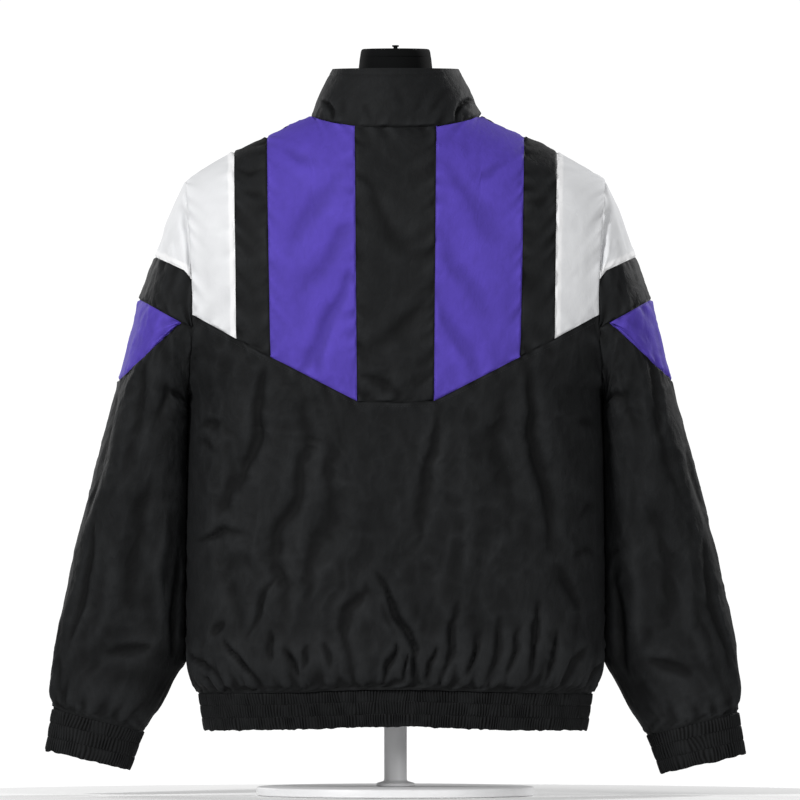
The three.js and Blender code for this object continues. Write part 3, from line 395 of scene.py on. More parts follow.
def sleeve_point(angle, run, drop=0.0):
    angle, run = np.broadcast_arrays(np.asarray(angle, float), np.asarray(run, float))
    at = np.clip(run, 0, SLEEVE_END)
    point = ring_point(angle, sleeve_ring(at, drop))
    fade = 1 - smooth(0, 90, at)
    offset = armhole_point(angle) - ring_point(angle, sleeve_ring(np.zeros_like(at), 0))
    point = point + offset * fade[..., None]
    clearance = SLEEVE_CLEARANCE * smooth(0, 40, at) + 0.3
    least = clear_x(point[..., 1], point[..., 2]) + clearance * smooth(0, 1, at)
    point[..., 0] = np.maximum(point[..., 0], least)
    return point


def seam_run(seam, angle):
    """Run at which a sleeve line crosses a seam that is given as height against X."""
    angle = np.asarray(angle, float)

    def above(run):
        point = sleeve_point(angle, run)
        return point[..., 2] > line_of(seam, "x", "z", point[..., 0])

    low = np.zeros_like(angle)
    high = np.full_like(angle, 330.0)
    crosses = above(low)
    for _ in range(24):
        middle = (low + high) / 2
        over = above(middle)
        low = np.where(over, middle, low)
        high = np.where(over, high, middle)
    return np.where(crosses, (low + high) / 2, 0)


def strip_angle(top_seam, foot_seam, least, face):
    low, high = 0.0, PI
    for _ in range(22):
        middle = (low + high) / 2
        at = np.array([face * middle])
        top = seam_run(top_seam, at)[0] if top_seam else 0
        if seam_run(foot_seam, at)[0] - top > least:
            low = middle
        else:
            high = middle
    return low


CREASE_DEPTH = 1.9
RELIEF_HEIGHT = 1.2


# Creases and gathers, as heights in millimetres along the normal. A crease is a path of places, with its
# half width at both ends and its depth; its lean makes one side steeper.
def crease_height(u, v, path, widths, depth, lean=0.0):
    best = np.full(u.shape, 1e9)
    side = np.zeros(u.shape)
    along = np.zeros(u.shape)
    lengths = [math.dist(a, b) for a, b in zip(path, path[1:])]
    done = 0.0
    for (a, b), length in zip(zip(path, path[1:]), lengths):
        du, dv = b[0] - a[0], b[1] - a[1]
        t = np.clip(((u - a[0]) * du + (v - a[1]) * dv) / length ** 2, 0, 1)
        ru, rv = u - a[0] - t * du, v - a[1] - t * dv
        away = ru * ru + rv * rv
        nearer = away < best
        best = np.where(nearer, away, best)
        side = np.where(nearer, np.sign(du * rv - dv * ru), side)
        along = np.where(nearer, (done + t * length) / sum(lengths), along)
        done += length
    d = np.sqrt(best) / (0.85 * mix(widths[0], widths[1], along) * (0.5 + 0.5 * np.sin(PI * along)))
    fade = np.sin(PI * np.clip(along, 0.01, 0.99)) ** 0.9
    return CREASE_DEPTH * depth * fade * np.exp(-(d ** 1.7)) * (1 + lean * side * np.minimum(d, 1.6))


def crumple(u, v, seed):
    """The cloth's own soft, sharp-edged unevenness."""
    total = np.zeros(np.broadcast(u, v).shape)
    for step, height, stretch in ((46, 0.75, 1.9), (21, 0.5, 1.6), (10.5, 0.36, 1.5)):
        bend = noise(u / step / 1.7, v / step / 1.7, seed + 7) * 0.8
        n = noise(u / step + bend, v / (step * stretch) - bend, seed + int(step))
        total += height * ((1 - np.abs(n)) ** 2 * 1.5 - 0.6)
    return total


def seen(px, py):
    """X and Z of a place on the back, from where the photograph shows it."""
    return (395.5 - px) * 1.15, (795 - py) * 1.15


def u_of_x(x, face=1):
    return float(girth_length(psi_of_x(np.array(float(x)), np.array(-1.0 if face > 0 else PI + 1))))


# Lower back: path in the photograph, half widths, depth, lean
BACK_CREASES = [
    ([(272, 362), (262, 420), (240, 475), (219, 520)], (9, 20), -4.2, 0.5),
    ([(219, 520), (226, 575), (240, 634)], (22, 14), -1.7, -0.3),
    ([(300, 385), (312, 440), (300, 500), (272, 552), (287, 586), (278, 626)], (14, 14), -3.4, 0.35),
    ([(255, 400), (243, 450), (232, 500)], (8, 10), 1.6, 0.0),
    ([(330, 420), (332, 500), (307, 578), (310, 620)], (18, 12), -2.6, -0.3),
    ([(520, 358), (532, 440), (548, 520), (552, 560)], (9, 18), -4.2, -0.5),
    ([(552, 560), (568, 590), (584, 612)], (12, 8), -2.6, 0.3),
    ([(500, 380), (497, 450), (512, 540)], (16, 18), -2.8, 0.3),
    ([(436, 414), (430, 480), (420, 553)], (8, 14), -3.0, 0.45),
    ([(460, 420), (470, 500), (462, 590)], (18, 16), 2.0, 0.0),
    ([(371, 569), (385, 581), (397, 601), (408, 626), (413, 647), (416, 684)], (6, 6), -3.8, 0.7),
    ([(384, 600), (392, 618), (400, 640)], (5, 6), -1.3, 0.4),
    ([(365, 578), (366, 594), (350, 613), (345, 639), (351, 662)], (9, 8), -2.6, 0.5),
    ([(394, 638), (390, 650), (382, 667), (379, 684)], (4, 5), -3.6, -0.7),
    ([(405, 647), (404, 662), (403, 682)], (3.5, 4), -2.8, 0.5),
    ([(210, 634), (217, 630), (224, 627)], (5, 6), -2.2, -0.4),
    ([(222, 636), (238, 653), (249, 670), (253, 684)], (4, 6), -3.4, 0.7),
    ([(189, 645), (210, 667), (218, 687)], (5, 6), -2.8, 0.5),
    ([(197, 672), (204, 682), (209, 691)], (3.5, 4), -2.6, 0.5),
    ([(270, 627), (272, 647), (269, 662)], (4.5, 5), -2.6, 0.5),
    ([(285, 643), (296, 659), (298, 676)], (4, 5), -3.0, 0.7),
    ([(313, 643), (306, 656), (303, 670)], (4, 5), -2.4, -0.6),
    ([(322, 641), (327, 656), (328, 668)], (4, 5), -2.2, 0.5),
    ([(276, 572), (264, 600), (254, 620), (245, 636)], (4.5, 3.5), -2.3, 0.6),
    ([(196, 432), (210, 424), (224, 420)], (5, 9), -2.2, 0.5),
    ([(194, 448), (207, 446), (220, 452)], (5, 8), -1.5, -0.4),
    ([(192, 541), (206, 536), (226, 528), (244, 532)], (4, 7), -2.6, 0.6),
    ([(600, 432), (588, 424), (574, 421)], (5, 9), -2.0, -0.5),
    ([(602, 500), (590, 508), (578, 520)], (5, 8), -1.7, -0.4),
    ([(599, 560), (586, 552), (570, 556)], (5, 8), -2.2, 0.5),
    ([(462, 600), (452, 640), (446, 684)], (6, 6), -3.4, 0.6),
    ([(436, 640), (430, 660), (428, 682)], (4, 5), -2.8, -0.6),
    ([(480, 630), (474, 652), (472, 682)], (4, 5), -3.0, 0.6),
    ([(500, 612), (496, 650), (490, 686)], (7, 6), -2.6, -0.5),
    ([(540, 600), (536, 644), (532, 686)], (6, 6), -3.2, 0.6),
    ([(520, 620), (516, 650), (508, 682)], (5, 5), -2.6, 0.6),
    ([(560, 628), (554, 652), (550, 684)], (4, 5), -2.8, -0.6),
    ([(588, 640), (574, 664), (570, 688)], (5, 6), -3.2, -0.6),
    ([(602, 660), (592, 676), (588, 690)], (4, 4), -2.6, -0.5),
]
# Yoke: soft diagonal folds
YOKE_CREASES = [
    ([(345, 170), (318, 205), (292, 250)], (10, 16), -1.6, 0.4),
    ([(354, 215), (330, 250), (300, 300)], (9, 14), -1.5, -0.3),
    ([(352, 262), (338, 300), (316, 352), (300, 382)], (7, 12), -2.4, 0.5),
    ([(330, 330), (322, 358), (318, 380)], (6, 8), -1.6, 0.4),
    ([(286, 150), (300, 158), (318, 160)], (7, 10), -1.3, 0.3),
    ([(444, 160), (470, 200), (500, 250)], (10, 16), -1.6, -0.4),
    ([(440, 230), (462, 270), (490, 322)], (9, 13), -1.8, 0.4),
    ([(438, 300), (456, 335), (480, 378)], (7, 10), -2.0, -0.4),
    ([(510, 160), (494, 172), (470, 176)], (7, 10), -1.2, 0.2),
    ([(366, 180), (388, 230), (420, 262)], (12, 16), -1.5, 0.3),
    ([(428, 300), (400, 330), (372, 345)], (9, 14), -1.6, -0.3),
    ([(362, 372), (384, 380), (404, 398)], (6, 9), -1.6, 0.4),
    ([(246, 190), (256, 196), (266, 192)], (4, 6), -1.1, 0.0),
    ([(238, 168), (252, 172), (268, 170)], (4, 5), -1.0, 0.0),
    ([(540, 196), (532, 204), (524, 200)], (4, 6), -1.0, 0.0),
    ([(205, 190), (214, 240), (222, 300)], (14, 12), -1.4, 0.3),
    ([(588, 190), (580, 240), (570, 300)], (14, 12), -1.4, -0.3),
]
# Fronts, in millimetres: X and height
FRONT_CREASES = [
    ([(150, 640), (170, 560), (186, 470), (190, 380)], (12, 20), -4.6, 0.5),
    ([(190, 380), (182, 300), (160, 240)], (18, 10), -2.8, -0.4),
    ([(96, 560), (110, 470), (104, 380), (120, 300)], (16, 18), -3.4, 0.35),
    ([(60, 640), (66, 560), (58, 470)], (14, 16), -2.2, 0.3),
    ([(130, 460), (140, 380), (134, 290)], (16, 16), 2.8, 0.0),
    ([(40, 330), (62, 270), (74, 200), (78, 150)], (10, 9), -4.4, 0.6),
    ([(56, 280), (50, 220), (46, 160)], (9, 8), 2.6, 0.0),
    ([(206, 230), (186, 196), (168, 150)], (8, 9), -4.0, 0.6),
    ([(224, 430), (206, 440), (188, 442)], (6, 9), -2.6, 0.4),
    ([(228, 310), (208, 318), (186, 326)], (6, 9), -3.0, 0.5),
    ([(120, 220), (112, 180), (116, 140)], (8, 9), -3.8, -0.5),
    ([(150, 240), (146, 196), (150, 150)], (10, 9), 2.6, 0.0),
    ([(90, 700), (120, 660), (160, 630)], (9, 12), -2.2, 0.4),
    ([(180, 690), (160, 650), (150, 600)], (9, 12), -2.0, -0.4),
    ([(-150, 650), (-172, 560), (-180, 480), (-186, 400)], (12, 20), -4.4, -0.5),
    ([(-186, 400), (-176, 320), (-158, 250)], (18, 10), -2.6, 0.4),
    ([(-92, 580), (-108, 490), (-98, 400), (-112, 310)], (16, 18), -3.4, -0.35),
    ([(-56, 620), (-64, 540), (-56, 450)], (14, 16), -2.0, -0.3),
    ([(-134, 440), (-142, 360), (-130, 280)], (16, 16), 2.8, 0.0),
    ([(-46, 350), (-60, 280), (-70, 210), (-66, 150)], (10, 9), -4.6, -0.6),
    ([(-212, 240), (-190, 200), (-176, 150)], (8, 9), -4.0, -0.6),
    ([(-226, 410), (-208, 424), (-190, 426)], (6, 9), -2.6, -0.4),
    ([(-228, 300), (-206, 306), (-184, 318)], (6, 9), -2.8, -0.5),
    ([(-118, 230), (-110, 186), (-116, 140)], (8, 9), -3.8, 0.5),
    ([(-146, 240), (-150, 200), (-146, 150)], (10, 9), 2.6, 0.0),
    ([(-96, 700), (-124, 664), (-160, 634)], (9, 12), -2.2, -0.4),
]
# Sleeves: angle in degrees from the outer edge by the back, and run in millimetres
SLEEVE_CREASES = [
    ([(150, 120), (110, 200), (90, 300)], (10, 18), -3.4, 0.4),
    ([(60, 180), (70, 280), (56, 380)], (14, 18), -2.6, -0.3),
    ([(100, 330), (88, 420), (92, 500)], (14, 14), -3.2, 0.4),
    ([(120, 360), (112, 440), (120, 520)], (12, 12), 2.4, 0.0),
    ([(40, 400), (46, 480), (40, 560)], (12, 10), -3.0, 0.3),
    ([(114, 536), (94, 552), (80, 562)], (8, 10), -2.8, 0.5),
    ([(70, 440), (74, 500), (66, 560)], (12, 12), 2.4, 0.0),
    ([(20, 250), (30, 330), (16, 420)], (12, 16), -2.4, 0.3),
    ([(136, 420), (132, 490), (140, 560)], (9, 9), -3.0, -0.4),
    ([(-60, 150), (-84, 250), (-78, 340)], (12, 18), -3.0, -0.4),
    ([(-110, 130), (-100, 220), (-120, 320)], (12, 16), -3.2, 0.4),
    ([(-40, 300), (-52, 390), (-46, 480)], (14, 14), -2.8, 0.3),
    ([(-90, 360), (-82, 450), (-92, 530)], (14, 12), -3.4, -0.5),
    ([(-66, 420), (-60, 500), (-70, 570)], (12, 10), 2.6, 0.0),
    ([(-120, 440), (-112, 510), (-122, 570)], (9, 9), -3.0, 0.4),
    ([(-20, 470), (-28, 530), (-20, 590)], (9, 8), -2.8, -0.3),
]


def pleats(u, rise, seed, pitch, length, around, depth):
    """Gathers that leave an elastic seam at uneven places, heights and slants."""
    dice = np.random.RandomState(seed)
    total = np.zeros(u.shape)
    at = 0.0
    while at < around:
        tall = length * (0.45 + 1.1 * dice.rand() ** 1.5)
        lean = (dice.rand() - 0.5) * 0.5
        deep = depth * (0.55 + 0.6 * dice.rand())
        size = pitch * (0.17 + 0.12 * dice.rand())
        away = (u - at - lean * rise + around / 2) % around - around / 2
        wide = size * (0.75 + rise / tall)
        total -= deep * np.exp(-(np.abs(away) / wide) ** 1.4) * np.exp(-((rise / tall) ** 1.8))
        at += pitch * (0.62 + 0.76 * dice.rand())
    return total


def body_height(psi, point, face):
    """Folds of the body's cloth, the same for every panel so that they run across its seams."""
    u, x, z = girth_length(psi), point[..., 0], point[..., 2]
    wu = u + 5 * noise(u / 34, z / 34, 3) + 2 * noise(u / 13, z / 13, 4)
    wz = z + 5 * noise(u / 34, z / 34, 5)
    total = np.zeros(u.shape)
    if face > 0:
        for path, widths, depth, lean in BACK_CREASES + YOKE_CREASES:
            places = [seen(px, py) for px, py in path]
            total += crease_height(wu, wz, [(u_of_x(a), b) for a, b in places], widths, depth, lean)
    else:
        for path, widths, depth, lean in FRONT_CREASES:
            total += crease_height(wu, wz, [(u_of_x(a, -1), b) for a, b in path], widths, depth, lean)
    total += crumple(u + (0 if face > 0 else 900), z, 11) * mix(0.6, 1.35, 1 - smooth(480, 560, z))
    rise = np.maximum(0, z - HEM["topZ"] - HEM["rise"] * np.cos(psi) ** 2)
    gathers = pleats(u + (0 if face > 0 else 2 * QUARTER), rise, 21, 17, 24, 4 * QUARTER, 5.8)
    gathers += pleats(u + (0 if face > 0 else 2 * QUARTER), rise, 22, 33, 52, 4 * QUARTER, 5.0)
    gathers += pleats(u + (0 if face > 0 else 2 * QUARTER), rise, 23, 9.5, 12, 4 * QUARTER, 3.6)
    bulge = 5.0 * smooth(0, 10, rise) * (1 - smooth(22, 80, rise))
    total += np.maximum(gathers * smooth(0, 3, rise) + bulge, -1.0 - 0.12 * rise)
    side = smooth(2, 34, QUARTER - np.abs(u))
    arm = 1 - smooth(205, 237, np.abs(x)) * smooth(150, 200, z)
    top = smooth(0, 26, np.where(np.abs(x) < NECK_HALF, (neck_back_z(x) if face > 0 else neck_front_z(x)), crest_z(x)) - z)
    zip_side = 1.0 if face > 0 else smooth(ZIP_HALF_WIDTH, 40, np.abs(x))
    return total * side * arm * np.maximum(top, 0.1) * zip_side


def sleeve_height(angle, run, drop):
    around = np.degrees(angle)
    v = angle * 72
    seed = 31 if drop == 0 else 47
    wa = around + 3 * noise(v / 30, run / 34, seed)
    wr = run + 6 * noise(v / 34, run / 34, seed + 1)
    total = np.zeros(np.shape(v))
    for path, widths, depth, lean in SLEEVE_CREASES:
        shift = 0 if drop == 0 else 9
        places = [(math.radians(a - shift * 0.6) * 72, r + shift * 2) for a, r in path]
        total += crease_height(np.radians(wa) * 72, wr, places, widths, depth, lean)
    total += crumple(v, run, seed + 3) * 1.2
    rise = np.maximum(0, SLEEVE_END - run)
    gathers = pleats(angle * 42, rise, seed + 5, 15, 24, 2 * PI * 42, 5.0)
    gathers += pleats(angle * 42, rise, seed + 6, 29, 56, 2 * PI * 42, 5.0)
    gathers += pleats(angle * 42, rise, seed + 9, 9, 12, 2 * PI * 42, 3.0)
    outer = 1 - smooth(95, 140, np.abs(around))
    bulge = 3.4 * smooth(0, 8, rise) * (1 - smooth(15, 60, rise)) * mix(0.1, 1, outer)
    total += np.maximum(gathers * smooth(0, 3, rise) + bulge, -1.0 - 0.12 * rise)
    total -= 4.0 * smooth(515, 560, run) * (1 - smooth(585, 612, run)) * (1 - outer)
    inner = 1 - 0.75 * smooth(130, 165, np.abs(around)) * (1 - smooth(480, 540, run))
    # the fold that hangs from the shoulder tip beside the armhole seam
    fold_run = mix(15, 5, np.clip((np.abs(around) - 26) / 50, 0, 1))
    fold = -CAP_FOLD * np.exp(-(((run - fold_run) / 5.5) ** 2)) * smooth(22, 44, np.abs(around)) * (1 - smooth(70, 84, np.abs(around)))
    return total * smooth(4, 60, run) * inner + fold


# Grids and meshes
def crowded(length, step, ends=(True, True), fine=(0.0, 0.7, 1.6, 2.8, 4.4, 6.4, 8.8)):
    """Shares of a length that lie close together near its sewn ends."""
    low = [f for f in fine if f < length / 2.2] if ends[0] else [0.0]
    high = [length - f for f in reversed(fine) if f < length / 2.2] if ends[1] else [length]
    count = max(1, int(round((high[0] - low[-1]) / step)))
    middle = np.linspace(low[-1], high[0], count + 1)[1:-1]
    return np.concatenate([low, middle, high]) / length


def normals_of(points, closed):
    if closed:
        padded = np.concatenate([points[:, -1:], points, points[:, :1]], axis=1)
        across = np.gradient(padded, axis=1)[:, 1:-1]
    else:
        across = np.gradient(points, axis=1)
    along = np.gradient(points, axis=0)
    normal = np.cross(across, along)
    return normal / np.maximum(np.linalg.norm(normal, axis=-1, keepdims=True), 1e-9)


def outward(points, normal, middle):
    if np.sum(normal * (points - middle)) < 0:
        return -normal
    return normal


def edge_distances(points):
    """Distances over the cloth to the first and last column and the first and last row."""
    across = np.linalg.norm(np.diff(points, axis=1), axis=-1)
    along = np.linalg.norm(np.diff(points, axis=0), axis=-1)
    left = np.concatenate([np.zeros((len(points), 1)), np.cumsum(across, axis=1)], axis=1)
    foot = np.concatenate([np.zeros((1, points.shape[1])), np.cumsum(along, axis=0)], axis=0)
    return left, left[:, -1:] - left, foot, foot[-1:] - foot


def seam_pucker(away, along, seed):
    """Short slanting dimples where the cloth puckers beside a seam; they fade out at the seam itself, where cloth()
    rolls the edge in.
    """
    wave = noise((along + away * 0.8) / 5.5, away / 40 + 3, seed)
    long_wave = noise((along + away * 0.55) / 11, away / 60 + 9, seed + 1)
    return (1.5 * wave * np.exp(-away / 7) + 1.9 * long_wave * np.exp(-away / 16)) * smooth(0, 2.4, away)


def armhole_calm(away, z):
    """Lets body and sleeve meet in one line round the underarm, so that no light comes through between them."""
    return 1 - np.exp(-((away / 3.5) ** 2)) * (1 - smooth(540, 585, z)) * smooth(446, 455, z)


def relief_of(height, closed, reach=5):
    """How far a place stands above (towards 1) or below (towards -1) the cloth round it."""
    mean = height
    for axis in (0, 1):
        pads = [(0, 0), (0, 0)]
        pads[axis] = (reach + 1, reach)
        run = np.cumsum(np.pad(mean, pads, mode="wrap" if closed and axis else "edge"), axis=axis)
        size = mean.shape[axis]
        high, low = np.arange(size) + 2 * reach + 1, np.arange(size)
        mean = (run.take(high, axis=axis) - run.take(low, axis=axis)) / (2 * reach + 1)
    return np.clip((height - mean) / RELIEF_HEIGHT, -1, 1)


def new_mesh(name, positions, faces):
    mesh = bpy.data.meshes.new(name)
    mesh.from_pydata([tuple(p) for p in (np.asarray(positions) * MM)], [], faces)
    mesh.validate()
    piece = bpy.data.objects.new(name, mesh)
    bpy.context.scene.collection.objects.link(piece)
    return piece


def grid_faces(rows, columns, closed, start=0, flip=False):
    faces = []
    for r in range(rows - 1):
        for c in range(columns if closed else columns - 1):
            n = (c + 1) % columns
            quad = (start + r * columns + c, start + r * columns + n, start + (r + 1) * columns + n, start + (r + 1) * columns + c)
            faces.append(quad[::-1] if flip else quad)
    return faces


def use_only(piece):
    bpy.ops.object.select_all(action="DESELECT")
    piece.select_set(True)
    bpy.context.view_layer.objects.active = piece


def finish_piece(piece, body="root", angle=50):
    use_only(piece)
    for modifier in list(piece.modifiers):
        bpy.ops.object.modifier_apply(modifier=modifier.name)
    bpy.ops.object.shade_smooth_by_angle(angle=math.radians(angle))
    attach(piece, body)


def set_attribute(piece, name, values):
    data = piece.data.attributes.new(name, "FLOAT", "POINT")
    data.data.foreach_set("value", np.asarray(values, np.float32).ravel())


TUCK = 1.6


def cloth(name, points, normal, material, slot, nodes, closed=False, thick=0.7, seams="lrft", seed=1,
          height=None, rests_on=("form_torso",), held="hung", marks=None, calm=None, tuck=None):
    """One cut piece: a thin shell over a grid of points, rolled in and puckered along its seams."""
    left, right, foot, top = edge_distances(points)
    total = np.zeros(points.shape[:2]) if height is None else height.copy()
    nearest = np.full(points.shape[:2], 1e3)
    for key, away, along in (("l", left, foot), ("r", right, foot), ("f", foot, left), ("t", top, left)):
        if key in seams:
            total += seam_pucker(away, along, seed * 5 + ord(key))
            nearest = np.minimum(nearest, away)
    total -= 0.85 * np.exp(-((nearest / 1.7) ** 2))
    if calm is not None:
        total *= calm(left, right, foot, top)
    face_points = points + normal * total[..., None]
    if tuck is not None:
        # the gathered edge goes on inside the elastic band
        inwards = points[tuck] - points[-2 if tuck else 1]
        face_points[tuck] += inwards / np.linalg.norm(inwards, axis=-1, keepdims=True) * TUCK
    rows, columns = points.shape[:2]
    flip = np.sum(np.cross(points[0, 1] - points[0, 0], points[1, 0] - points[0, 0]) * normal[0, 0]) < 0
    piece = new_mesh(name, face_points.reshape(-1, 3), grid_faces(rows, columns, closed, flip=flip))
    # seam: painted shade along the rolled-in fold of each seam
    set_attribute(piece, "seam", np.exp(-((nearest / 1.3) ** 2)))
    # relief, from which the material paints shade in the creases and a highlight on their ridges
    set_attribute(piece, "relief", relief_of(total, closed))
    if marks is not None:
        set_attribute(piece, "allowance", marks(left, right, foot, top))
    solid = piece.modifiers.new("Thickness", "SOLIDIFY")
    solid.thickness = thick * MM
    solid.offset = -1
    piece.data.materials.append(material)
    finish_piece(piece)
    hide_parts(*nodes)
    return piece, face_points, normal


# Materials
def linear(text):
    """A colour's sRGB hex value as linear red, green, blue and alpha."""
    values = [int(text[i:i + 2], 16) / 255 for i in (1, 3, 5)]
    return [v / 12.92 if v <= 0.04045 else ((v + 0.055) / 1.055) ** 2.4 for v in values] + [1.0]


def add_node(tree, kind, settings=None, inputs=None, links=None):
    """Adds a node, sets its properties and sockets, and links its inputs to other nodes' outputs."""
    node = tree.nodes.new(kind)
    for key, value in (settings or {}).items():
        setattr(node, key, value)
    for key, value in (inputs or {}).items():
        node.inputs[key].default_value = value
    for key, (source, output) in (links or {}).items():
        tree.links.new(source.outputs[output], node.inputs[key])
    return node


def new_material(name):
    material = bpy.data.materials.new(name)
    material.use_nodes = True
    tree = material.node_tree
    tree.nodes.clear()
    return material, tree


def nylon(name, colour, deep, bright, rough=0.58, gleam=0.28, sheen=0.0, crinkle=1.0, painted_sheen_amount=0.05,
          painted_valley_shade=0.6, hollow=0.6, ridge=1.5, allowance=None):
    """Crinkled nylon taffeta: tight plain weave whose washed-in crinkle breaks the gloss into fine flecks, painted into
    the colour as a painted sheen on the crinkle's raised places; the colour also carries painted shade along the seams,
    in the rib hollows and in the creases, and a painted highlight on the creases' ridges.
    """
    material, tree = new_material(name)
    place = add_node(tree, "ShaderNodeTexCoord")
    large = add_node(tree, "ShaderNodeTexNoise", inputs={"Scale": 17, "Detail": 3, "Roughness": 0.55},
                     links={"Vector": (place, "Object")})
    stretch = add_node(tree, "ShaderNodeMapping", inputs={"Scale": (1, 1, 0.6)}, links={"Vector": (place, "Object")})
    # crinkle of 3 to 9 mm
    fold = add_node(tree, "ShaderNodeTexNoise", inputs={"Scale": 120, "Detail": 4, "Roughness": 0.6, "Distortion": 0.6},
                    links={"Vector": (stretch, "Vector")})
    # threads are 0.15 mm apart, drawn at 1 mm so that they still show
    weave = add_node(tree, "ShaderNodeTexNoise", inputs={"Scale": 1000, "Detail": 1, "Roughness": 0.5},
                     links={"Vector": (place, "Object")})
    tone = add_node(tree, "ShaderNodeValToRGB", links={"Fac": (large, "Fac")})
    tone.color_ramp.elements[0].position = 0.3
    tone.color_ramp.elements[0].color = linear(deep)
    tone.color_ramp.elements[1].position = 0.72
    tone.color_ramp.elements[1].color = linear(bright)
    middle = tone.color_ramp.elements.new(0.5)
    middle.color = linear(colour)
    # painted sheen: lighter where the crinkle stands up, darker where it sinks
    painted_sheen = add_node(tree, "ShaderNodeMapRange", inputs={"From Min": 0.3, "From Max": 0.7, "To Min": 1 - painted_sheen_amount, "To Max": 1 + painted_sheen_amount},
                      links={"Value": (fold, "Fac")})
    # painted shade: darker along each seam's rolled-in fold, and on the elastic in its rib hollows and stitched grooves
    seam = add_node(tree, "ShaderNodeAttribute", settings={"attribute_name": "seam"})
    painted_seam_shade = add_node(tree, "ShaderNodeMapRange", inputs={"To Min": 1.0, "To Max": painted_valley_shade}, links={"Value": (seam, "Fac")})
    # painted shade in the creases and a painted highlight on their ridges, from the relief attribute
    relief = add_node(tree, "ShaderNodeAttribute", settings={"attribute_name": "relief"})
    painted_crease_light = add_node(tree, "ShaderNodeMapRange", inputs={"From Min": -1.0, "To Min": hollow, "To Max": ridge},
                           links={"Value": (relief, "Fac")})
    shade = add_node(tree, "ShaderNodeMath", settings={"operation": "MULTIPLY"},
                     links={0: (painted_sheen, "Result"), 1: (painted_crease_light, "Result")})
    factor = add_node(tree, "ShaderNodeMath", settings={"operation": "MULTIPLY"},
                      links={0: (shade, "Value"), 1: (painted_seam_shade, "Result")})
    colour_node = add_node(tree, "ShaderNodeVectorMath", settings={"operation": "SCALE"},
                           links={0: (tone, "Color"), "Scale": (factor, "Value")})
    last, output = colour_node, "Vector"
    if allowance:
        # the turned-in edge shows through the white cloth as a brighter strip
        strip = add_node(tree, "ShaderNodeAttribute", settings={"attribute_name": "allowance"})
        last = add_node(tree, "ShaderNodeMix", settings={"data_type": "RGBA"},
                        links={"Factor": (strip, "Fac")})
        tree.links.new(colour_node.outputs["Vector"], last.inputs[6])
        last.inputs[7].default_value = linear(allowance)
        output = 2
    bump_fold = add_node(tree, "ShaderNodeBump", inputs={"Strength": 0.75 * crinkle, "Distance": 0.0011},
                         links={"Height": (fold, "Fac")})
    bump = add_node(tree, "ShaderNodeBump", inputs={"Strength": 0.25, "Distance": 0.0003},
                    links={"Height": (weave, "Fac"), "Normal": (bump_fold, "Normal")})
    gloss = add_node(tree, "ShaderNodeMapRange", inputs={"To Min": rough - 0.07, "To Max": rough + 0.1},
                     links={"Value": (fold, "Fac")})
    shader = add_node(tree, "ShaderNodeBsdfPrincipled",
                      inputs={"IOR": 1.5, "Specular IOR Level": gleam, "Sheen Weight": sheen, "Sheen Roughness": 0.5},
                      links={"Roughness": (gloss, "Result"), "Normal": (bump, "Normal")})
    tree.links.new(last.outputs[output], shader.inputs["Base Color"])
    add_node(tree, "ShaderNodeOutputMaterial", links={"Surface": (shader, "BSDF")})
    return material


def plain_finish(name, colour, deep, rough, metallic=0.0, grain=600, bump_height=0.0002, strength=0.3, gleam=0.5):
    """A surface with a fine even grain: jersey, moulded plastic, lacquered or coated metal."""
    material, tree = new_material(name)
    place = add_node(tree, "ShaderNodeTexCoord")
    cloud = add_node(tree, "ShaderNodeTexNoise", inputs={"Scale": 25, "Detail": 3}, links={"Vector": (place, "Object")})
    fine = add_node(tree, "ShaderNodeTexNoise", inputs={"Scale": grain, "Detail": 2}, links={"Vector": (place, "Object")})
    tone = add_node(tree, "ShaderNodeValToRGB", links={"Fac": (cloud, "Fac")})
    tone.color_ramp.elements[0].position = 0.3
    tone.color_ramp.elements[0].color = linear(deep)
    tone.color_ramp.elements[1].position = 0.7
    tone.color_ramp.elements[1].color = linear(colour)
    gloss = add_node(tree, "ShaderNodeMapRange", inputs={"To Min": rough - 0.05, "To Max": rough + 0.08},
                     links={"Value": (fine, "Fac")})
    bump = add_node(tree, "ShaderNodeBump", inputs={"Strength": strength, "Distance": bump_height},
                    links={"Height": (fine, "Fac")})
    shader = add_node(tree, "ShaderNodeBsdfPrincipled", inputs={"Metallic": metallic, "Specular IOR Level": gleam},
                      links={"Base Color": (tone, "Color"), "Roughness": (gloss, "Result"), "Normal": (bump, "Normal")})
    add_node(tree, "ShaderNodeOutputMaterial", links={"Surface": (shader, "BSDF")})
    return material


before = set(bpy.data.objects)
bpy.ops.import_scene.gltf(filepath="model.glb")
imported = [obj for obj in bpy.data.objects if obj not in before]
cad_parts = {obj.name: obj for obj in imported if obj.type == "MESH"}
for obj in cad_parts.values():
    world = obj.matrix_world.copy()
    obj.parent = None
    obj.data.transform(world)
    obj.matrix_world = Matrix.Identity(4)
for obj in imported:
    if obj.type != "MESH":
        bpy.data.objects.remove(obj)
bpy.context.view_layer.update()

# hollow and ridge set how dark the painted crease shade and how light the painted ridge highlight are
BLACK = nylon("black_crinkled_nylon", "#18191a", "#151617", "#1b1c1d", rough=0.7, gleam=0.14, crinkle=1.3, painted_sheen_amount=0.16,
              hollow=0.48, ridge=1.65)
PURPLE = nylon("purple_crinkled_nylon", "#5443ab", "#5241a8", "#5645af", rough=0.68, gleam=0.12, crinkle=0.9,
               painted_valley_shade=0.88, hollow=0.82, ridge=1.12)
WHITE = nylon("white_crinkled_nylon", "#e6e7e9", "#e4e5e7", "#e8e9eb", rough=0.68, gleam=0.12, crinkle=0.45, painted_sheen_amount=0.01,
              painted_valley_shade=0.88, hollow=0.88, ridge=1.04, allowance="#f3f3f4")
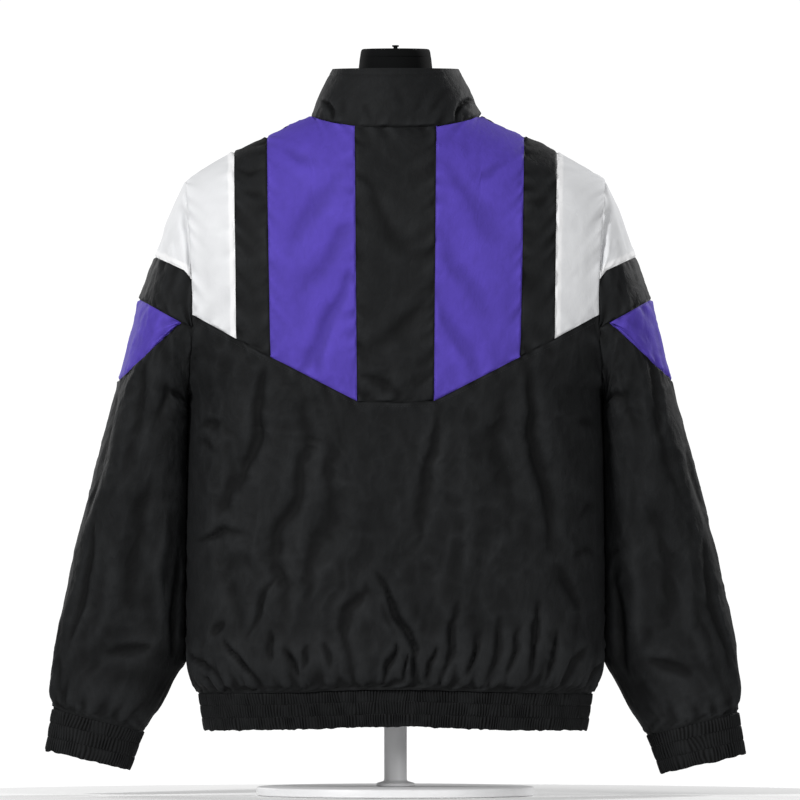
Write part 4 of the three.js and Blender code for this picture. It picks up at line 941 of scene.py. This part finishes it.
# the elastic's rib hollows and stitched grooves are painted almost black as shade
ELASTIC = nylon("gathered_black_nylon", "#1a1b1c", "#161718", "#1e1f20", rough=0.7, gleam=0.13, painted_valley_shade=0.05)
TAPE = plain_finish("woven_zip_tape", "#121314", "#0d0e0e", 0.8, grain=900, gleam=0.2)
TEETH = plain_finish("moulded_acetal_teeth", "#1f2022", "#1a1b1d", 0.38, grain=900, strength=0.15)
LACQUER = plain_finish("lacquered_zinc", "#2c2d2f", "#232425", 0.32, metallic=0.7, grain=1500, strength=0.1)
JERSEY = plain_finish("jersey_cover", "#0c0d0e", "#090a0a", 0.9, grain=700, strength=0.4, gleam=0.12)
THREAD = plain_finish("polyester_thread", "#1d1e20", "#17181a", 0.55, grain=2500, strength=0.4)
ENAMEL = plain_finish("powder_coated_steel", "#f2f2f3", "#ebebec", 0.42, grain=800, strength=0.25)

STEP = 3.5
ACROSS = 2.5


# Back and yoke
def grid_on_body(inner_psi, outer_psi, foot_turn, top_turn, shares_a, shares_b, even=False):
    a, b = np.meshgrid(shares_a, shares_b)
    turn = mix(foot_turn(np.full(a.shape, 0.5)), top_turn(np.full(a.shape, 0.5)), b)
    psi = np.zeros(a.shape)
    for _ in range(9):
        psi = mix(inner_psi(turn), outer_psi(turn), a)
        turn = mix(foot_turn(psi), top_turn(psi), b)
    return psi, turn


def body_piece(name, psi, turn, face, material, slot, nodes, **options):
    points = plain_point(psi, turn)
    normal = outward(points, normals_of(points, False), np.array([0.0, 0.0, 420.0]))
    height = body_height(psi, points, face)
    inner = 40 * (1 - smooth(215, 228, np.abs(points[..., 0])))

    def calm(left, right, foot, top):
        return armhole_calm(np.minimum(left, right) + inner, points[..., 2])

    return cloth(name, points, normal, material, slot, nodes, height=height, calm=calm, **options)


UNDERARM_ROWS = np.array([-1.2, 0, 0.12, 0.4, 0.9, 1.7, 2.8, 4.4, 6.5, 9.2, 12.5])


def rows_with_underarm(rows, underarm, height):
    """Adds rows just above the underarm, where the armhole's edge turns quickly."""
    extra = underarm + UNDERARM_ROWS / height
    kept = [row for row in rows if np.min(np.abs(extra - row)) > 0.4 / abs(height)]
    return np.sort(np.concatenate([kept, extra]))


def back_pieces():
    shares = crowded(2 * QUARTER, ACROSS) * 2 - 1
    top = np.full(shares.shape, -0.4)
    for _ in range(14):
        top = mix(top, pointed_seam_turn(psi_in_armhole(shares, top)), 0.6)
    foot = float(hem_turn(1)(PI / 2))
    underarm = (float(turn_of_z(UNDERARM, 0, 1)) - foot) / (top[-1] - foot)
    a, b = np.meshgrid(shares, rows_with_underarm(crowded(400, STEP), underarm, (top[-1] - foot) * MM_PER_RADIAN))
    turn = mix(hem_turn(1)(psi_of_share(a)), top[None, :], b)
    psi = psi_in_armhole(a, turn)
    _, face_points, normal = body_piece("back_lower_cloth", psi, turn, 1, BLACK, "black_nylon", ["back_lower"], seed=1, tuck=0)
    stitch_row("yoke_stitches", face_points[-6, 6:-6], normal[-6, 6:-6])

    centre, purple, strip = seam_psi(YOKE_CENTRE), seam_psi(YOKE_PURPLE), seam_psi(YOKE_STRIP)
    high = crowded(310, STEP)

    def panel(name, inner, outer, width, material, slot, seed, marks=None):
        columns = crowded(width, STEP)
        for side, sign in (("left", 1), ("right", -1)):
            psi, turn = grid_on_body(inner, outer, pointed_seam_turn, yoke_top, columns, high)
            psi = psi * sign
            body_piece(f"{name}_{side}_cloth", psi, turn, 1, material, slot, [f"{name}_{side}"], seed=seed + sign, marks=marks)

    psi, turn = grid_on_body(lambda t: -centre(t), centre, pointed_seam_turn, yoke_top, crowded(92, STEP), high)
    body_piece("yoke_centre_cloth", psi, turn, 1, BLACK, "black_nylon", ["yoke_centre"], seed=4)
    panel("yoke_purple", centre, purple, 104, PURPLE, "purple_nylon", 8)
    panel("yoke_strip", purple, strip, 40, BLACK, "black_nylon", 14)
    panel("yoke_white", strip, armhole_psi, 62, WHITE, "white_nylon", 20,
          marks=lambda left, right, foot, top: 1 - smooth(7.4, 8.6, left))


def front_pieces():
    shares = crowded(QUARTER, ACROSS * 1.1)
    top = np.full(shares.shape, PI / 2 + 0.1)
    for _ in range(14):
        top = mix(top, front_top(psi_in_armhole(shares, top, ZIP_HALF_WIDTH)), 0.6)
    foot = float(hem_turn(-1)(PI / 2))
    underarm = (float(turn_of_z(UNDERARM, 0, -1)) - top[-1]) / (foot - top[-1])
    rows = rows_with_underarm(crowded(680, STEP * 1.15), underarm, (top[-1] - foot) * MM_PER_RADIAN)
    a, b = np.meshgrid(shares, rows)
    turn = mix(top[None, :], hem_turn(-1)(psi_of_share(a)), b)
    psi = psi_in_armhole(a, turn, ZIP_HALF_WIDTH)
    for side, sign in (("left", 1), ("right", -1)):
        body_piece(f"front_{side}_cloth", psi * sign, turn, -1, BLACK, "black_nylon", [f"front_{side}"], seed=30 + sign,
                   tuck=-1)


# Sleeves
def sleeve_pieces():
    for side, sign, drop in (("left", 1, 0.0), ("right", -1, RIGHT_DROP)):
        def place(points):
            return points * np.array([sign, 1, 1])

        def strip(name, top_seam, foot_seam, width, material, slot, seed, marks=None):
            back = strip_angle(top_seam, foot_seam, 0.4, 1)
            front = -strip_angle(top_seam, foot_seam, 0.4, -1)
            angles = front + crowded((back - front) * 84, STEP) * (back - front)
            angle, b = np.meshgrid(angles, crowded(width, STEP))
            top = seam_run(top_seam, angle) if top_seam else np.zeros(angle.shape)
            run = mix(top, seam_run(foot_seam, angle), b)
            points = sleeve_point(angle, run, 0.0)
            normal = outward(points, normals_of(points, False), np.array([262.0, -5.0, 560.0]))
            height = sleeve_height(angle, run, drop)
            cloth(f"{name}_{side}_cloth", place(points), place(normal), material, slot, [f"{name}_{side}"],
                  seed=seed + sign, height=height, marks=marks,
                  calm=lambda left, right, foot, top: armhole_calm(run, points[..., 2]))

        strip("sleeve_cap", None, CAP_SEAM, 90, WHITE, "white_nylon", 40,
              marks=lambda left, right, foot, top: 1 - smooth(6.8, 8.0, top))
        strip("sleeve_band", CAP_SEAM, WEDGE_TOP, 52, BLACK, "black_nylon", 46)
        strip("sleeve_wedge", WEDGE_TOP, WEDGE_FOOT, 92, PURPLE, "purple_nylon", 52)

        count = int(500 / ACROSS)
        angles = np.arange(count) / count * 2 * PI - PI
        angle, b = np.meshgrid(angles, crowded(470, STEP))
        start = np.maximum(seam_run(WEDGE_FOOT, angle), seam_run(WEDGE_TOP, angle))
        run = mix(start, SLEEVE_END, b)
        points = sleeve_point(angle, run, drop)
        middle = points.mean(axis=1, keepdims=True)
        normal = outward(points, normals_of(points, True), middle)
        height = sleeve_height(angle, run, drop)
        cloth(f"sleeve_lower_{side}_cloth", place(points), place(normal), BLACK, "black_nylon", [f"sleeve_lower_{side}"],
              closed=True, seams="ft", seed=60 + sign, height=height, tuck=-1,
              calm=lambda left, right, foot, top: armhole_calm(run, points[..., 2]))


# Stitches: each one a short flattened bead of thread
STITCH = {"long": 2.7, "pitch": 3.4, "wide": 0.55, "proud": 0.3}


def stitch_row(name, line, up):
    run = np.concatenate([[0], np.cumsum(np.linalg.norm(np.diff(line, axis=0), axis=1))])
    at = np.arange(STITCH["pitch"], run[-1] - STITCH["pitch"] / 2, STITCH["pitch"])

    def along(values, places):
        return np.stack([np.interp(places, run, values[:, k]) for k in range(3)], axis=-1)

    middle, out = along(line, at), along(up, at)
    heading = along(line, at + 1.2) - along(line, at - 1.2)
    heading /= np.linalg.norm(heading, axis=1, keepdims=True)
    out /= np.linalg.norm(out, axis=1, keepdims=True)
    side = np.cross(out, heading)
    ends = heading * STITCH["long"] / 2
    flank = side * STITCH["wide"] / 2
    rise = out * STITCH["proud"]
    beads = np.stack([middle - ends, middle - flank, middle + ends, middle + flank, middle + rise, middle - rise], axis=1)
    shape = [(0, 1, 4), (1, 2, 4), (2, 3, 4), (3, 0, 4), (1, 0, 5), (2, 1, 5), (3, 2, 5), (0, 3, 5)]
    faces = [tuple(v + 6 * i for v in face) for i in range(len(at)) for face in shape]
    piece = new_mesh(name, beads.reshape(-1, 3), faces)
    use_only(piece)
    bpy.ops.object.mode_set(mode="EDIT")
    bpy.ops.mesh.select_all(action="SELECT")
    bpy.ops.mesh.normals_make_consistent(inside=False)
    bpy.ops.object.mode_set(mode="OBJECT")
    piece.data.materials.append(THREAD)
    finish_piece(piece, angle=60)


# Elastic bands
def ribs(along, band, pitch, seed):
    """Heights of close uneven ribs between the stitched grooves, and the painted shade that darkens the rib hollows and
    the grooves.
    """
    channel = np.abs(np.sin(band * CHANNELS * PI))
    which = np.floor(np.clip(band, 0, 0.999) * CHANNELS)
    shift = noise(along / (pitch * 4), which * 3.7 + band * 2, seed) * pitch * 0.8 + which * 1.3
    size = 0.7 + 0.4 * noise(along / (pitch * 1.9), which * 5 + band * 4, seed + 1)
    crest = np.abs(np.sin((along + shift) / pitch * PI))
    groove = np.exp(-((channel / 0.13) ** 2))
    # painted shade: darkest deep between the ribs and in the stitched grooves
    painted_valley_shade = np.maximum((1 - crest) ** 0.85 * 1.5 * size, 0.75 * groove)
    return 0.45 * channel ** 0.4 + 1.5 * crest * size * (1 - 0.3 * groove), np.clip(painted_valley_shade, 0, 1)


def band_rows():
    """Rows that lie close together at the grooves and the edges."""
    offsets = np.array([0, 0.014, 0.04, 0.1, 0.1667, 0.2333, 0.2933, 0.3193])
    return np.concatenate([offsets + k / CHANNELS for k in range(CHANNELS)] + [[1.0]])


def band_piece(name, points, normal, height, painted_valley_shade, nodes, closed, part, thick=1.6):
    turned_in = 1 - smooth(-0.005, 0.045, part)
    height = mix(height, -1.2, turned_in)
    face_points = points + normal * height[..., None]
    rows, columns = points.shape[:2]
    inside = (points - normal * thick)[[0, -1]]
    start = rows * columns
    flip = np.sum(np.cross(points[0, 1] - points[0, 0], points[1, 0] - points[0, 0]) * normal[0, 0]) < 0
    faces = grid_faces(rows, columns, closed, flip=flip)
    faces += grid_faces(2, columns, closed, start=start, flip=not flip)
    for c in range(columns if closed else columns - 1):
        n = (c + 1) % columns
        low = (c, start + c, start + n, n)
        last = (rows - 1) * columns
        high = (last + c, last + n, start + columns + n, start + columns + c)
        faces += [low[::-1], high[::-1]] if flip else [low, high]
    if not closed:
        for c, turned in ((0, flip), (columns - 1, not flip)):
            rim = [r * columns + c for r in range(rows)] + [start + columns + c, start + c]
            faces.append(tuple(rim if turned else rim[::-1]))
    piece = new_mesh(name, np.concatenate([face_points.reshape(-1, 3), inside.reshape(-1, 3)]), faces)
    # painted shade of the rib hollows and stitched grooves; the inside rows get none
    set_attribute(piece, "seam", np.concatenate([painted_valley_shade.ravel(), np.zeros(columns * 2)]))
    piece.data.materials.append(ELASTIC)
    finish_piece(piece)
    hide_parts(*nodes)
    for k in range(1, CHANNELS):
        row = k * (rows - 1) // CHANNELS
        line, up = face_points[row], normal[row]
        if closed:
            line, up = np.concatenate([line, line[:1]]), np.concatenate([up, up[:1]])
        stitch_row(f"{name.replace('_cloth', '')}_stitches_{k}", line, up)


def hem_piece():
    pitch = 3.7
    start = float(girth_length(np.array(math.atan(ZIP_HALF_WIDTH / HEM["footDeep"])))) / QUARTER
    count = int(4 * QUARTER / pitch * (6))
    a, b = np.meshgrid(np.linspace(0, 1, count), band_rows())
    angle = ring_angle(mix(start, 4 - start, a))
    wide = mix(HEM["topHalf"], HEM["footHalf"], b)
    deep = mix(HEM["topDeep"], HEM["footDeep"], b)
    radius = oval_radius(angle, wide, deep, ROUNDNESS)
    z = mix(HEM["topZ"], HEM["footZ"], b) + HEM["rise"] * np.cos(angle) ** 2
    along = a * 4 * QUARTER
    z = z + (0.8 * noise(along / 9, 0, 81) + 0.5 * noise(along / 4, 0, 83)) * smooth(0.8, 1, b)
    points = np.stack([radius * np.sin(angle), -radius * np.cos(angle), z], axis=-1)
    normal = outward(points, normals_of(points, False), np.array([0.0, 0.0, 98.0]))
    ends = smooth(0, 8, np.minimum(along, 4 * QUARTER - along))
    height, painted_valley_shade = ribs(along, b, pitch, 82)
    band_piece("hem_band_cloth", points, normal, height * ends, painted_valley_shade * ends, ["hem_band"], False, b)


def cuff_pieces():
    for side, sign, drop in (("left", 1, 0.0), ("right", -1, RIGHT_DROP)):
        top = sleeve_ring(np.array(SLEEVE_END), drop)
        foot = dict(CUFF_FOOT, inZ=CUFF_FOOT["inZ"] - drop, outZ=CUFF_FOOT["outZ"] - drop)
        pitch = 3.7
        around = 290
        count = int(around / pitch) * 6
        a, b = np.meshgrid(np.arange(count) / count, band_rows())
        ring = {key: mix(float(top[key]), foot[key], b) for key in foot}
        ring["deep"] = ring["deep"] - 1.5
        points = ring_point(a * 2 * PI, ring)
        lumps = noise(a * 24, 0, 90 + sign) + 0.5 * noise(a * 61, 0, 94 + sign)
        points[..., 2] += 1.1 * lumps * smooth(0.7, 1, b)
        normal = outward(points, normals_of(points, True), points.mean(axis=1, keepdims=True))
        height, painted_valley_shade = ribs(a * around, b, around / round(around / pitch), 92 + sign)
        seam_side = np.array([sign, 1, 1])
        band_piece(f"cuff_{side}_cloth", points * seam_side, normal * seam_side, height, painted_valley_shade, [f"cuff_{side}"], True, b)


# Collar
def collar_point(angle, part):
    x = np.sin(angle) * NECK_HALF
    face = np.where(np.cos(angle) > 0, -1.0, 1.0)
    z = np.where(face > 0, neck_back_z(x), neck_front_z(x))
    turn = turn_of_z(z, x, face)
    foot = plain_point(psi_of_x(x, turn), turn)
    top = np.stack(
        [
            COLLAR["topHalf"] * np.sin(angle),
            COLLAR["topMidY"] - COLLAR["topDeep"] * np.cos(angle),
            COLLAR["topZ"] + COLLAR["frontRise"] * np.maximum(0, np.cos(angle)),
        ],
        axis=-1,
    )
    point = mix(foot, top, part[..., None])
    swell = COLLAR["swell"] * np.sin(PI * np.clip(part, 0, 1))
    point[..., 0] += swell * np.sin(angle)
    point[..., 1] -= swell * np.cos(angle)
    return point


def collar_piece():
    a, b = np.meshgrid(crowded(500, 1.9), crowded(72, 1.9))
    start = np.arcsin(ZIP_HALF_WIDTH / mix(COLLAR["topHalf"], NECK_HALF, b))
    angle = mix(start, 2 * PI - start, a)
    points = collar_point(angle, 1 - b)
    normal = outward(points, normals_of(points, False), np.array([0.0, -8.0, 800.0]))
    left, right, foot, top = edge_distances(points)
    z = points[..., 2]
    x = points[..., 0]
    back = np.cos(angle) < 0
    height = crumple(left, z, 71) * 0.45 * smooth(0, 9, foot)
    # topstitching 8 mm below the edge, and the dimples where the neck seam pulls at both sides
    height -= 0.5 * np.exp(-(((foot - 8.5) / 1.1) ** 2))
    for path, widths, depth, lean in (
        ([(86, 801), (77, 795), (72, 786), (72, 774)], (2.6, 3.4), -2.3, 0.6),
        ([(84, 790), (80, 781)], (4, 4), 0.8, 0.0),
        ([(62, 802), (60, 788), (56, 776)], (6, 5), -0.7, 0.3),
        ([(-93, 795), (-84, 800), (-75, 794), (-70, 784), (-69, 774)], (2.6, 3.4), -2.6, -0.6),
        ([(-84, 790), (-80, 781)], (4, 4), 0.8, 0.0),
        ([(-62, 812), (-50, 796), (-38, 780)], (6, 6), -0.9, 0.4),
        ([(-44, 816), (-30, 800), (-22, 782)], (6, 6), -0.6, 0.3),
        ([(36, 796), (30, 784), (26, 772)], (5, 5), -0.6, 0.3),
        ([(4, 822), (-4, 806), (-10, 788)], (8, 8), -0.5, 0.3),
    ):
        height += crease_height(x, z, path, widths, depth, lean) * back
        height += crease_height(-x, z, path, widths, depth * 0.7, lean) * ~back * smooth(30, 50, np.abs(x))
    height *= smooth(0, 5, np.minimum(left, right))
    _, face_points, _ = cloth("collar_cloth", points, normal, BLACK, "black_nylon", ["collar"], thick=2.2, seams="t", seed=70,
                              height=height, rests_on=("front_left", "front_right"), held="folded")
    row = int(np.argmin(np.abs(foot[:, len(foot[0]) // 2] - 8.5)))
    stitch_row("collar_stitches", face_points[row, 4:-4], normal[row, 4:-4])


# Zip
def zip_line():
    line = []
    foot, top = HEM["footZ"] + HEM["rise"], HEM["topZ"] + HEM["rise"]
    for b in (0, 0.5, 1):
        line.append((-mix(HEM["footDeep"], HEM["topDeep"], b) - 1.2, mix(foot, top, b) + 0.1))
    for z in (127, 134, 142, 152, 164, 180, 200, 220, 290, 370, 455, 520, 560, 600, 640, 675, 705, 728, NECK_FRONT_Z):
        point = plain_point(np.array(0.0), turn_of_z(z, 0, -1))
        line.append((float(point[1]), float(z)))
    for part in (0.25, 0.5, 0.75, 0.985):
        point = collar_point(np.array(0.0), np.array(part))
        line.append((float(point[1]), float(point[2])))
    return np.array(line)


def along_zip(step, top_z):
    """Places and directions at even steps along the zip."""
    line = zip_line()
    length = np.concatenate([[0], np.cumsum(np.hypot(*np.diff(line, axis=0).T))])
    end = np.interp(top_z, line[:, 1], length)
    at = np.arange(0, end, step)
    fine = np.linspace(0, length[-1], 400)
    y = np.interp(fine, length, line[:, 0])
    z = np.interp(fine, length, line[:, 1])
    for _ in range(6):
        y[1:-1] = (y[:-2] + y[1:-1] * 2 + y[2:]) / 4
    y, z = np.interp(at, fine, y), np.interp(at, fine, z)
    dy, dz = np.gradient(y), np.gradient(z)
    size = np.hypot(dy, dz)
    return y, z, dy / size, dz / size


def zip_pieces():
    # tapes
    y, z, dy, dz = along_zip(2.5, COLLAR["topZ"])
    for side, sign in (("left", 1), ("right", -1)):
        across = np.array([1.6, 3.2, 4.6, 6.5, 8.5, 10.2, 11.6, 13.2])
        inset = np.array([1.3, 0.5, 0.15, 0.1, 0.15, 0.3, 0.9, 1.9])
        points = np.stack(
            [
                np.broadcast_to(across * sign, (len(y), len(across))),
                y[:, None] + dz[:, None] * inset,
                z[:, None] - dy[:, None] * inset,
            ],
            axis=-1,
        )
        normal = outward(points, normals_of(points, False), np.array([0.0, 60.0, 460.0]))
        cloth(f"zip_tape_{side}_cloth", points, normal, TAPE, "zip_tape", [f"zip_tape_{side}"], thick=0.9, seams="",
              rests_on=(f"front_{side}",))
    # teeth: one moulded tooth, shaped once and copied to both sides in turn
    bpy.ops.object.select_all(action="DESELECT")
    bpy.ops.mesh.primitive_cube_add(size=1)
    tooth = bpy.context.object
    tooth.scale = (3.6 * MM, 2.3 * MM, 1.35 * MM)
    bpy.ops.object.transform_apply(location=False, rotation=False, scale=True)
    bevel = tooth.modifiers.new("Soft edges", "BEVEL")
    bevel.width = 0.25 * MM
    bevel.segments = 1
    bpy.ops.object.modifier_apply(modifier=bevel.name)
    shape = np.array([v.co[:] for v in tooth.data.vertices]) / MM
    faces = [tuple(p.vertices) for p in tooth.data.polygons]
    bpy.data.objects.remove(tooth)
    y, z, dy, dz = along_zip(1.45, SLIDER_Z + 2.5)
    positions, all_faces = [], []
    for i in range(1, len(y) - 1):
        sign = 1 if i % 2 else -1
        local = shape * [1, 1, 1]
        local[:, 0] += sign * 0.95
        out = np.array([0, -dz[i], dy[i]])
        up = np.array([0, dy[i], dz[i]])
        base = np.array([0, y[i], z[i]]) + out * (0.5 - CHAIN_THICK / 2)
        placed = base + local[:, :1] * [1, 0, 0] + local[:, 1:2] * -out + local[:, 2:] * up
        all_faces += [tuple(v + len(positions) * len(shape) for v in f) for f in faces]
        positions.append(placed)
    piece = new_mesh("zip_teeth", np.concatenate(positions), all_faces)
    piece.data.materials.append(TEETH)
    finish_piece(piece, angle=30)
    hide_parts("zip_chain")


# Dress form: a loft through its sections
def form_piece():
    levels = np.concatenate([np.linspace(176, 180, 3), np.arange(186, 770, 8.0), np.arange(772, 846, 3.0), [846.5, 848, 849]])
    count = 96
    bpy.ops.object.select_all(action="DESELECT")
    bpy.ops.mesh.primitive_circle_add(vertices=count, radius=1, fill_type="NGON")
    form = bpy.context.object
    bpy.ops.object.mode_set(mode="EDIT")
    bpy.ops.mesh.select_all(action="SELECT")
    for _ in levels[1:]:
        bpy.ops.mesh.extrude_region_move(TRANSFORM_OT_translate={"value": (0, 0, 0.01)})
    bpy.ops.object.mode_set(mode="OBJECT")
    for v in form.data.vertices:
        ring = min(len(levels) - 1, int(round(v.co.z / 0.01)))
        level = levels[ring]
        angle = math.atan2(v.co.y, v.co.x)
        power = 2 / curve_of(FORM, "z", "oval", level)
        inset = 0.15 * smooth(846, 849, level) ** 2
        v.co = (
            float(signed_power(math.cos(angle), power) * (curve_of(FORM, "z", "wide", level) - inset) * MM),
            float((curve_of(FORM, "z", "midY", level) + signed_power(math.sin(angle), power) * (curve_of(FORM, "z", "deep", level) - inset)) * MM),
            level * MM,
        )
    form.name = form.data.name = "form_torso_cover"
    use_only(form)
    bpy.ops.object.mode_set(mode="EDIT")
    bpy.ops.mesh.select_all(action="SELECT")
    bpy.ops.mesh.normals_make_consistent(inside=False)
    bpy.ops.object.mode_set(mode="OBJECT")
    form.data.materials.append(JERSEY)
    finish_piece(form, angle=60)
    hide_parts("form_torso")


def turned(name, profile, material, slot, nodes, sides=96, scale_y=1.0, mid_y=0.0, angle=35):
    """A piece turned about the Z axis from a profile of radius and height."""
    mesh = bpy.data.meshes.new(name)
    mesh.from_pydata([(r * MM, 0, z * MM) for r, z in profile], [(i, i + 1) for i in range(len(profile) - 1)], [])
    piece = bpy.data.objects.new(name, mesh)
    bpy.context.scene.collection.objects.link(piece)
    use_only(piece)
    bpy.ops.object.mode_set(mode="EDIT")
    bpy.ops.mesh.select_all(action="SELECT")
    bpy.ops.mesh.spin(steps=sides, angle=2 * PI, center=(0, 0, 0), axis=(0, 0, 1))
    bpy.ops.mesh.select_all(action="SELECT")
    bpy.ops.mesh.remove_doubles(threshold=1e-6)
    bpy.ops.mesh.normals_make_consistent(inside=False)
    bpy.ops.object.mode_set(mode="OBJECT")
    for v in piece.data.vertices:
        v.co.y = v.co.y * scale_y + mid_y * MM
    piece.data.materials.append(material)
    finish_piece(piece, angle=angle)
    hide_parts(*nodes)
    return piece


def stand_pieces():
    turned("form_cap_plate", [(0, 849.05), (40.7, 849.05), (40.7, 849.6), (40.3, 852.5), (39.9, 855), (39.2, 856.8), (38, 857.8), (37, 858),
                              (3.2, 858), (2.5, 858.3), (2.4, 860.2), (2.8, 860.5), (3.6, 860.6), (4, 861), (4, 862), (3.5, 862.5), (0, 862.5)],
           JERSEY, "form_cover", ["form_cap"], scale_y=49 / 40, mid_y=-8)
    turned("stand_post", [(0, 10.3), (21.2, 10.3), (22, 11), (22, 13.4), (21, 14.2), (14.6, 16), (13.3, 17), (13, 19), (13, 175.7), (0, 175.7)],
           ENAMEL, "stand_enamel", ["form_post"])
    turned("stand_base", [(0, 0), (159, 0), (160, 1), (160, 7.6), (159.3, 9), (157.8, 9.8), (156, 10), (0, 10)],
           ENAMEL, "stand_enamel", ["form_base"], sides=160)


back_pieces()
front_pieces()
sleeve_pieces()
hem_piece()
cuff_pieces()
collar_piece()
zip_pieces()
form_piece()
stand_pieces()
for name in ("zip_slider", "zip_pull"):
    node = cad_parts[name]
    node.data.materials.clear()
    node.data.materials.append(LACQUER)

# Floor, light and camera
bpy.ops.object.select_all(action="DESELECT")
bpy.ops.mesh.primitive_circle_add(vertices=128, radius=0.6, fill_type="NGON", location=(0, 0, -0.0005))
floor = bpy.context.object
floor.name = "floor"
floor.data.materials.append(plain_finish("matt_pale_floor", "#fcfcfc", "#fafafa", 0.9, grain=60, strength=0.05))

# A white studio: the surroundings are seen brighter than they light the cloth
world = bpy.data.worlds.new("studio")
bpy.context.scene.world = world
world.use_nodes = True
studio = world.node_tree
studio.nodes.clear()
ray = add_node(studio, "ShaderNodeLightPath")
strength = add_node(studio, "ShaderNodeMapRange", inputs={"To Min": 0.27, "To Max": 1.05},
                    links={"Value": (ray, "Is Camera Ray")})
sky = add_node(studio, "ShaderNodeBackground", inputs={"Color": (1, 1, 1, 1)}, links={"Strength": (strength, "Result")})
add_node(studio, "ShaderNodeOutputWorld", links={"Surface": (sky, "Background")})
bpy.context.scene.view_settings.view_transform = "Standard"


def area_light(name, place, target, size, watts):
    light = bpy.data.lights.new(name, "AREA")
    light.shape = "DISK"
    light.size = size
    light.energy = watts
    lamp = bpy.data.objects.new(name, light)
    lamp.location = place
    lamp.rotation_euler = (Vector(target) - Vector(place)).to_track_quat("-Z", "Y").to_euler()
    bpy.context.scene.collection.objects.link(lamp)


for face, sign in (("back", 1), ("front", -1)):
    area_light(f"{face}_key", (1.9 * sign, 1.9 * sign, 1.75), (0, 0, 0.4), 0.6, 56 if sign > 0 else 46)
    area_light(f"{face}_fill", (-1.8 * sign, 2.4 * sign, 1.2), (0, 0, 0.45), 1.2, 27)

DISTANCE = 20.0
camera = bpy.data.cameras.new("camera")
camera.sensor_width = 36
camera.lens = 36 * DISTANCE / 0.92
camera.clip_end = 50
view = bpy.data.objects.new("camera", camera)
view.location = (-0.00518, DISTANCE, 0.45425)
view.rotation_euler = (PI / 2, 0, PI)
bpy.context.scene.collection.objects.link(view)
bpy.context.scene.camera = view
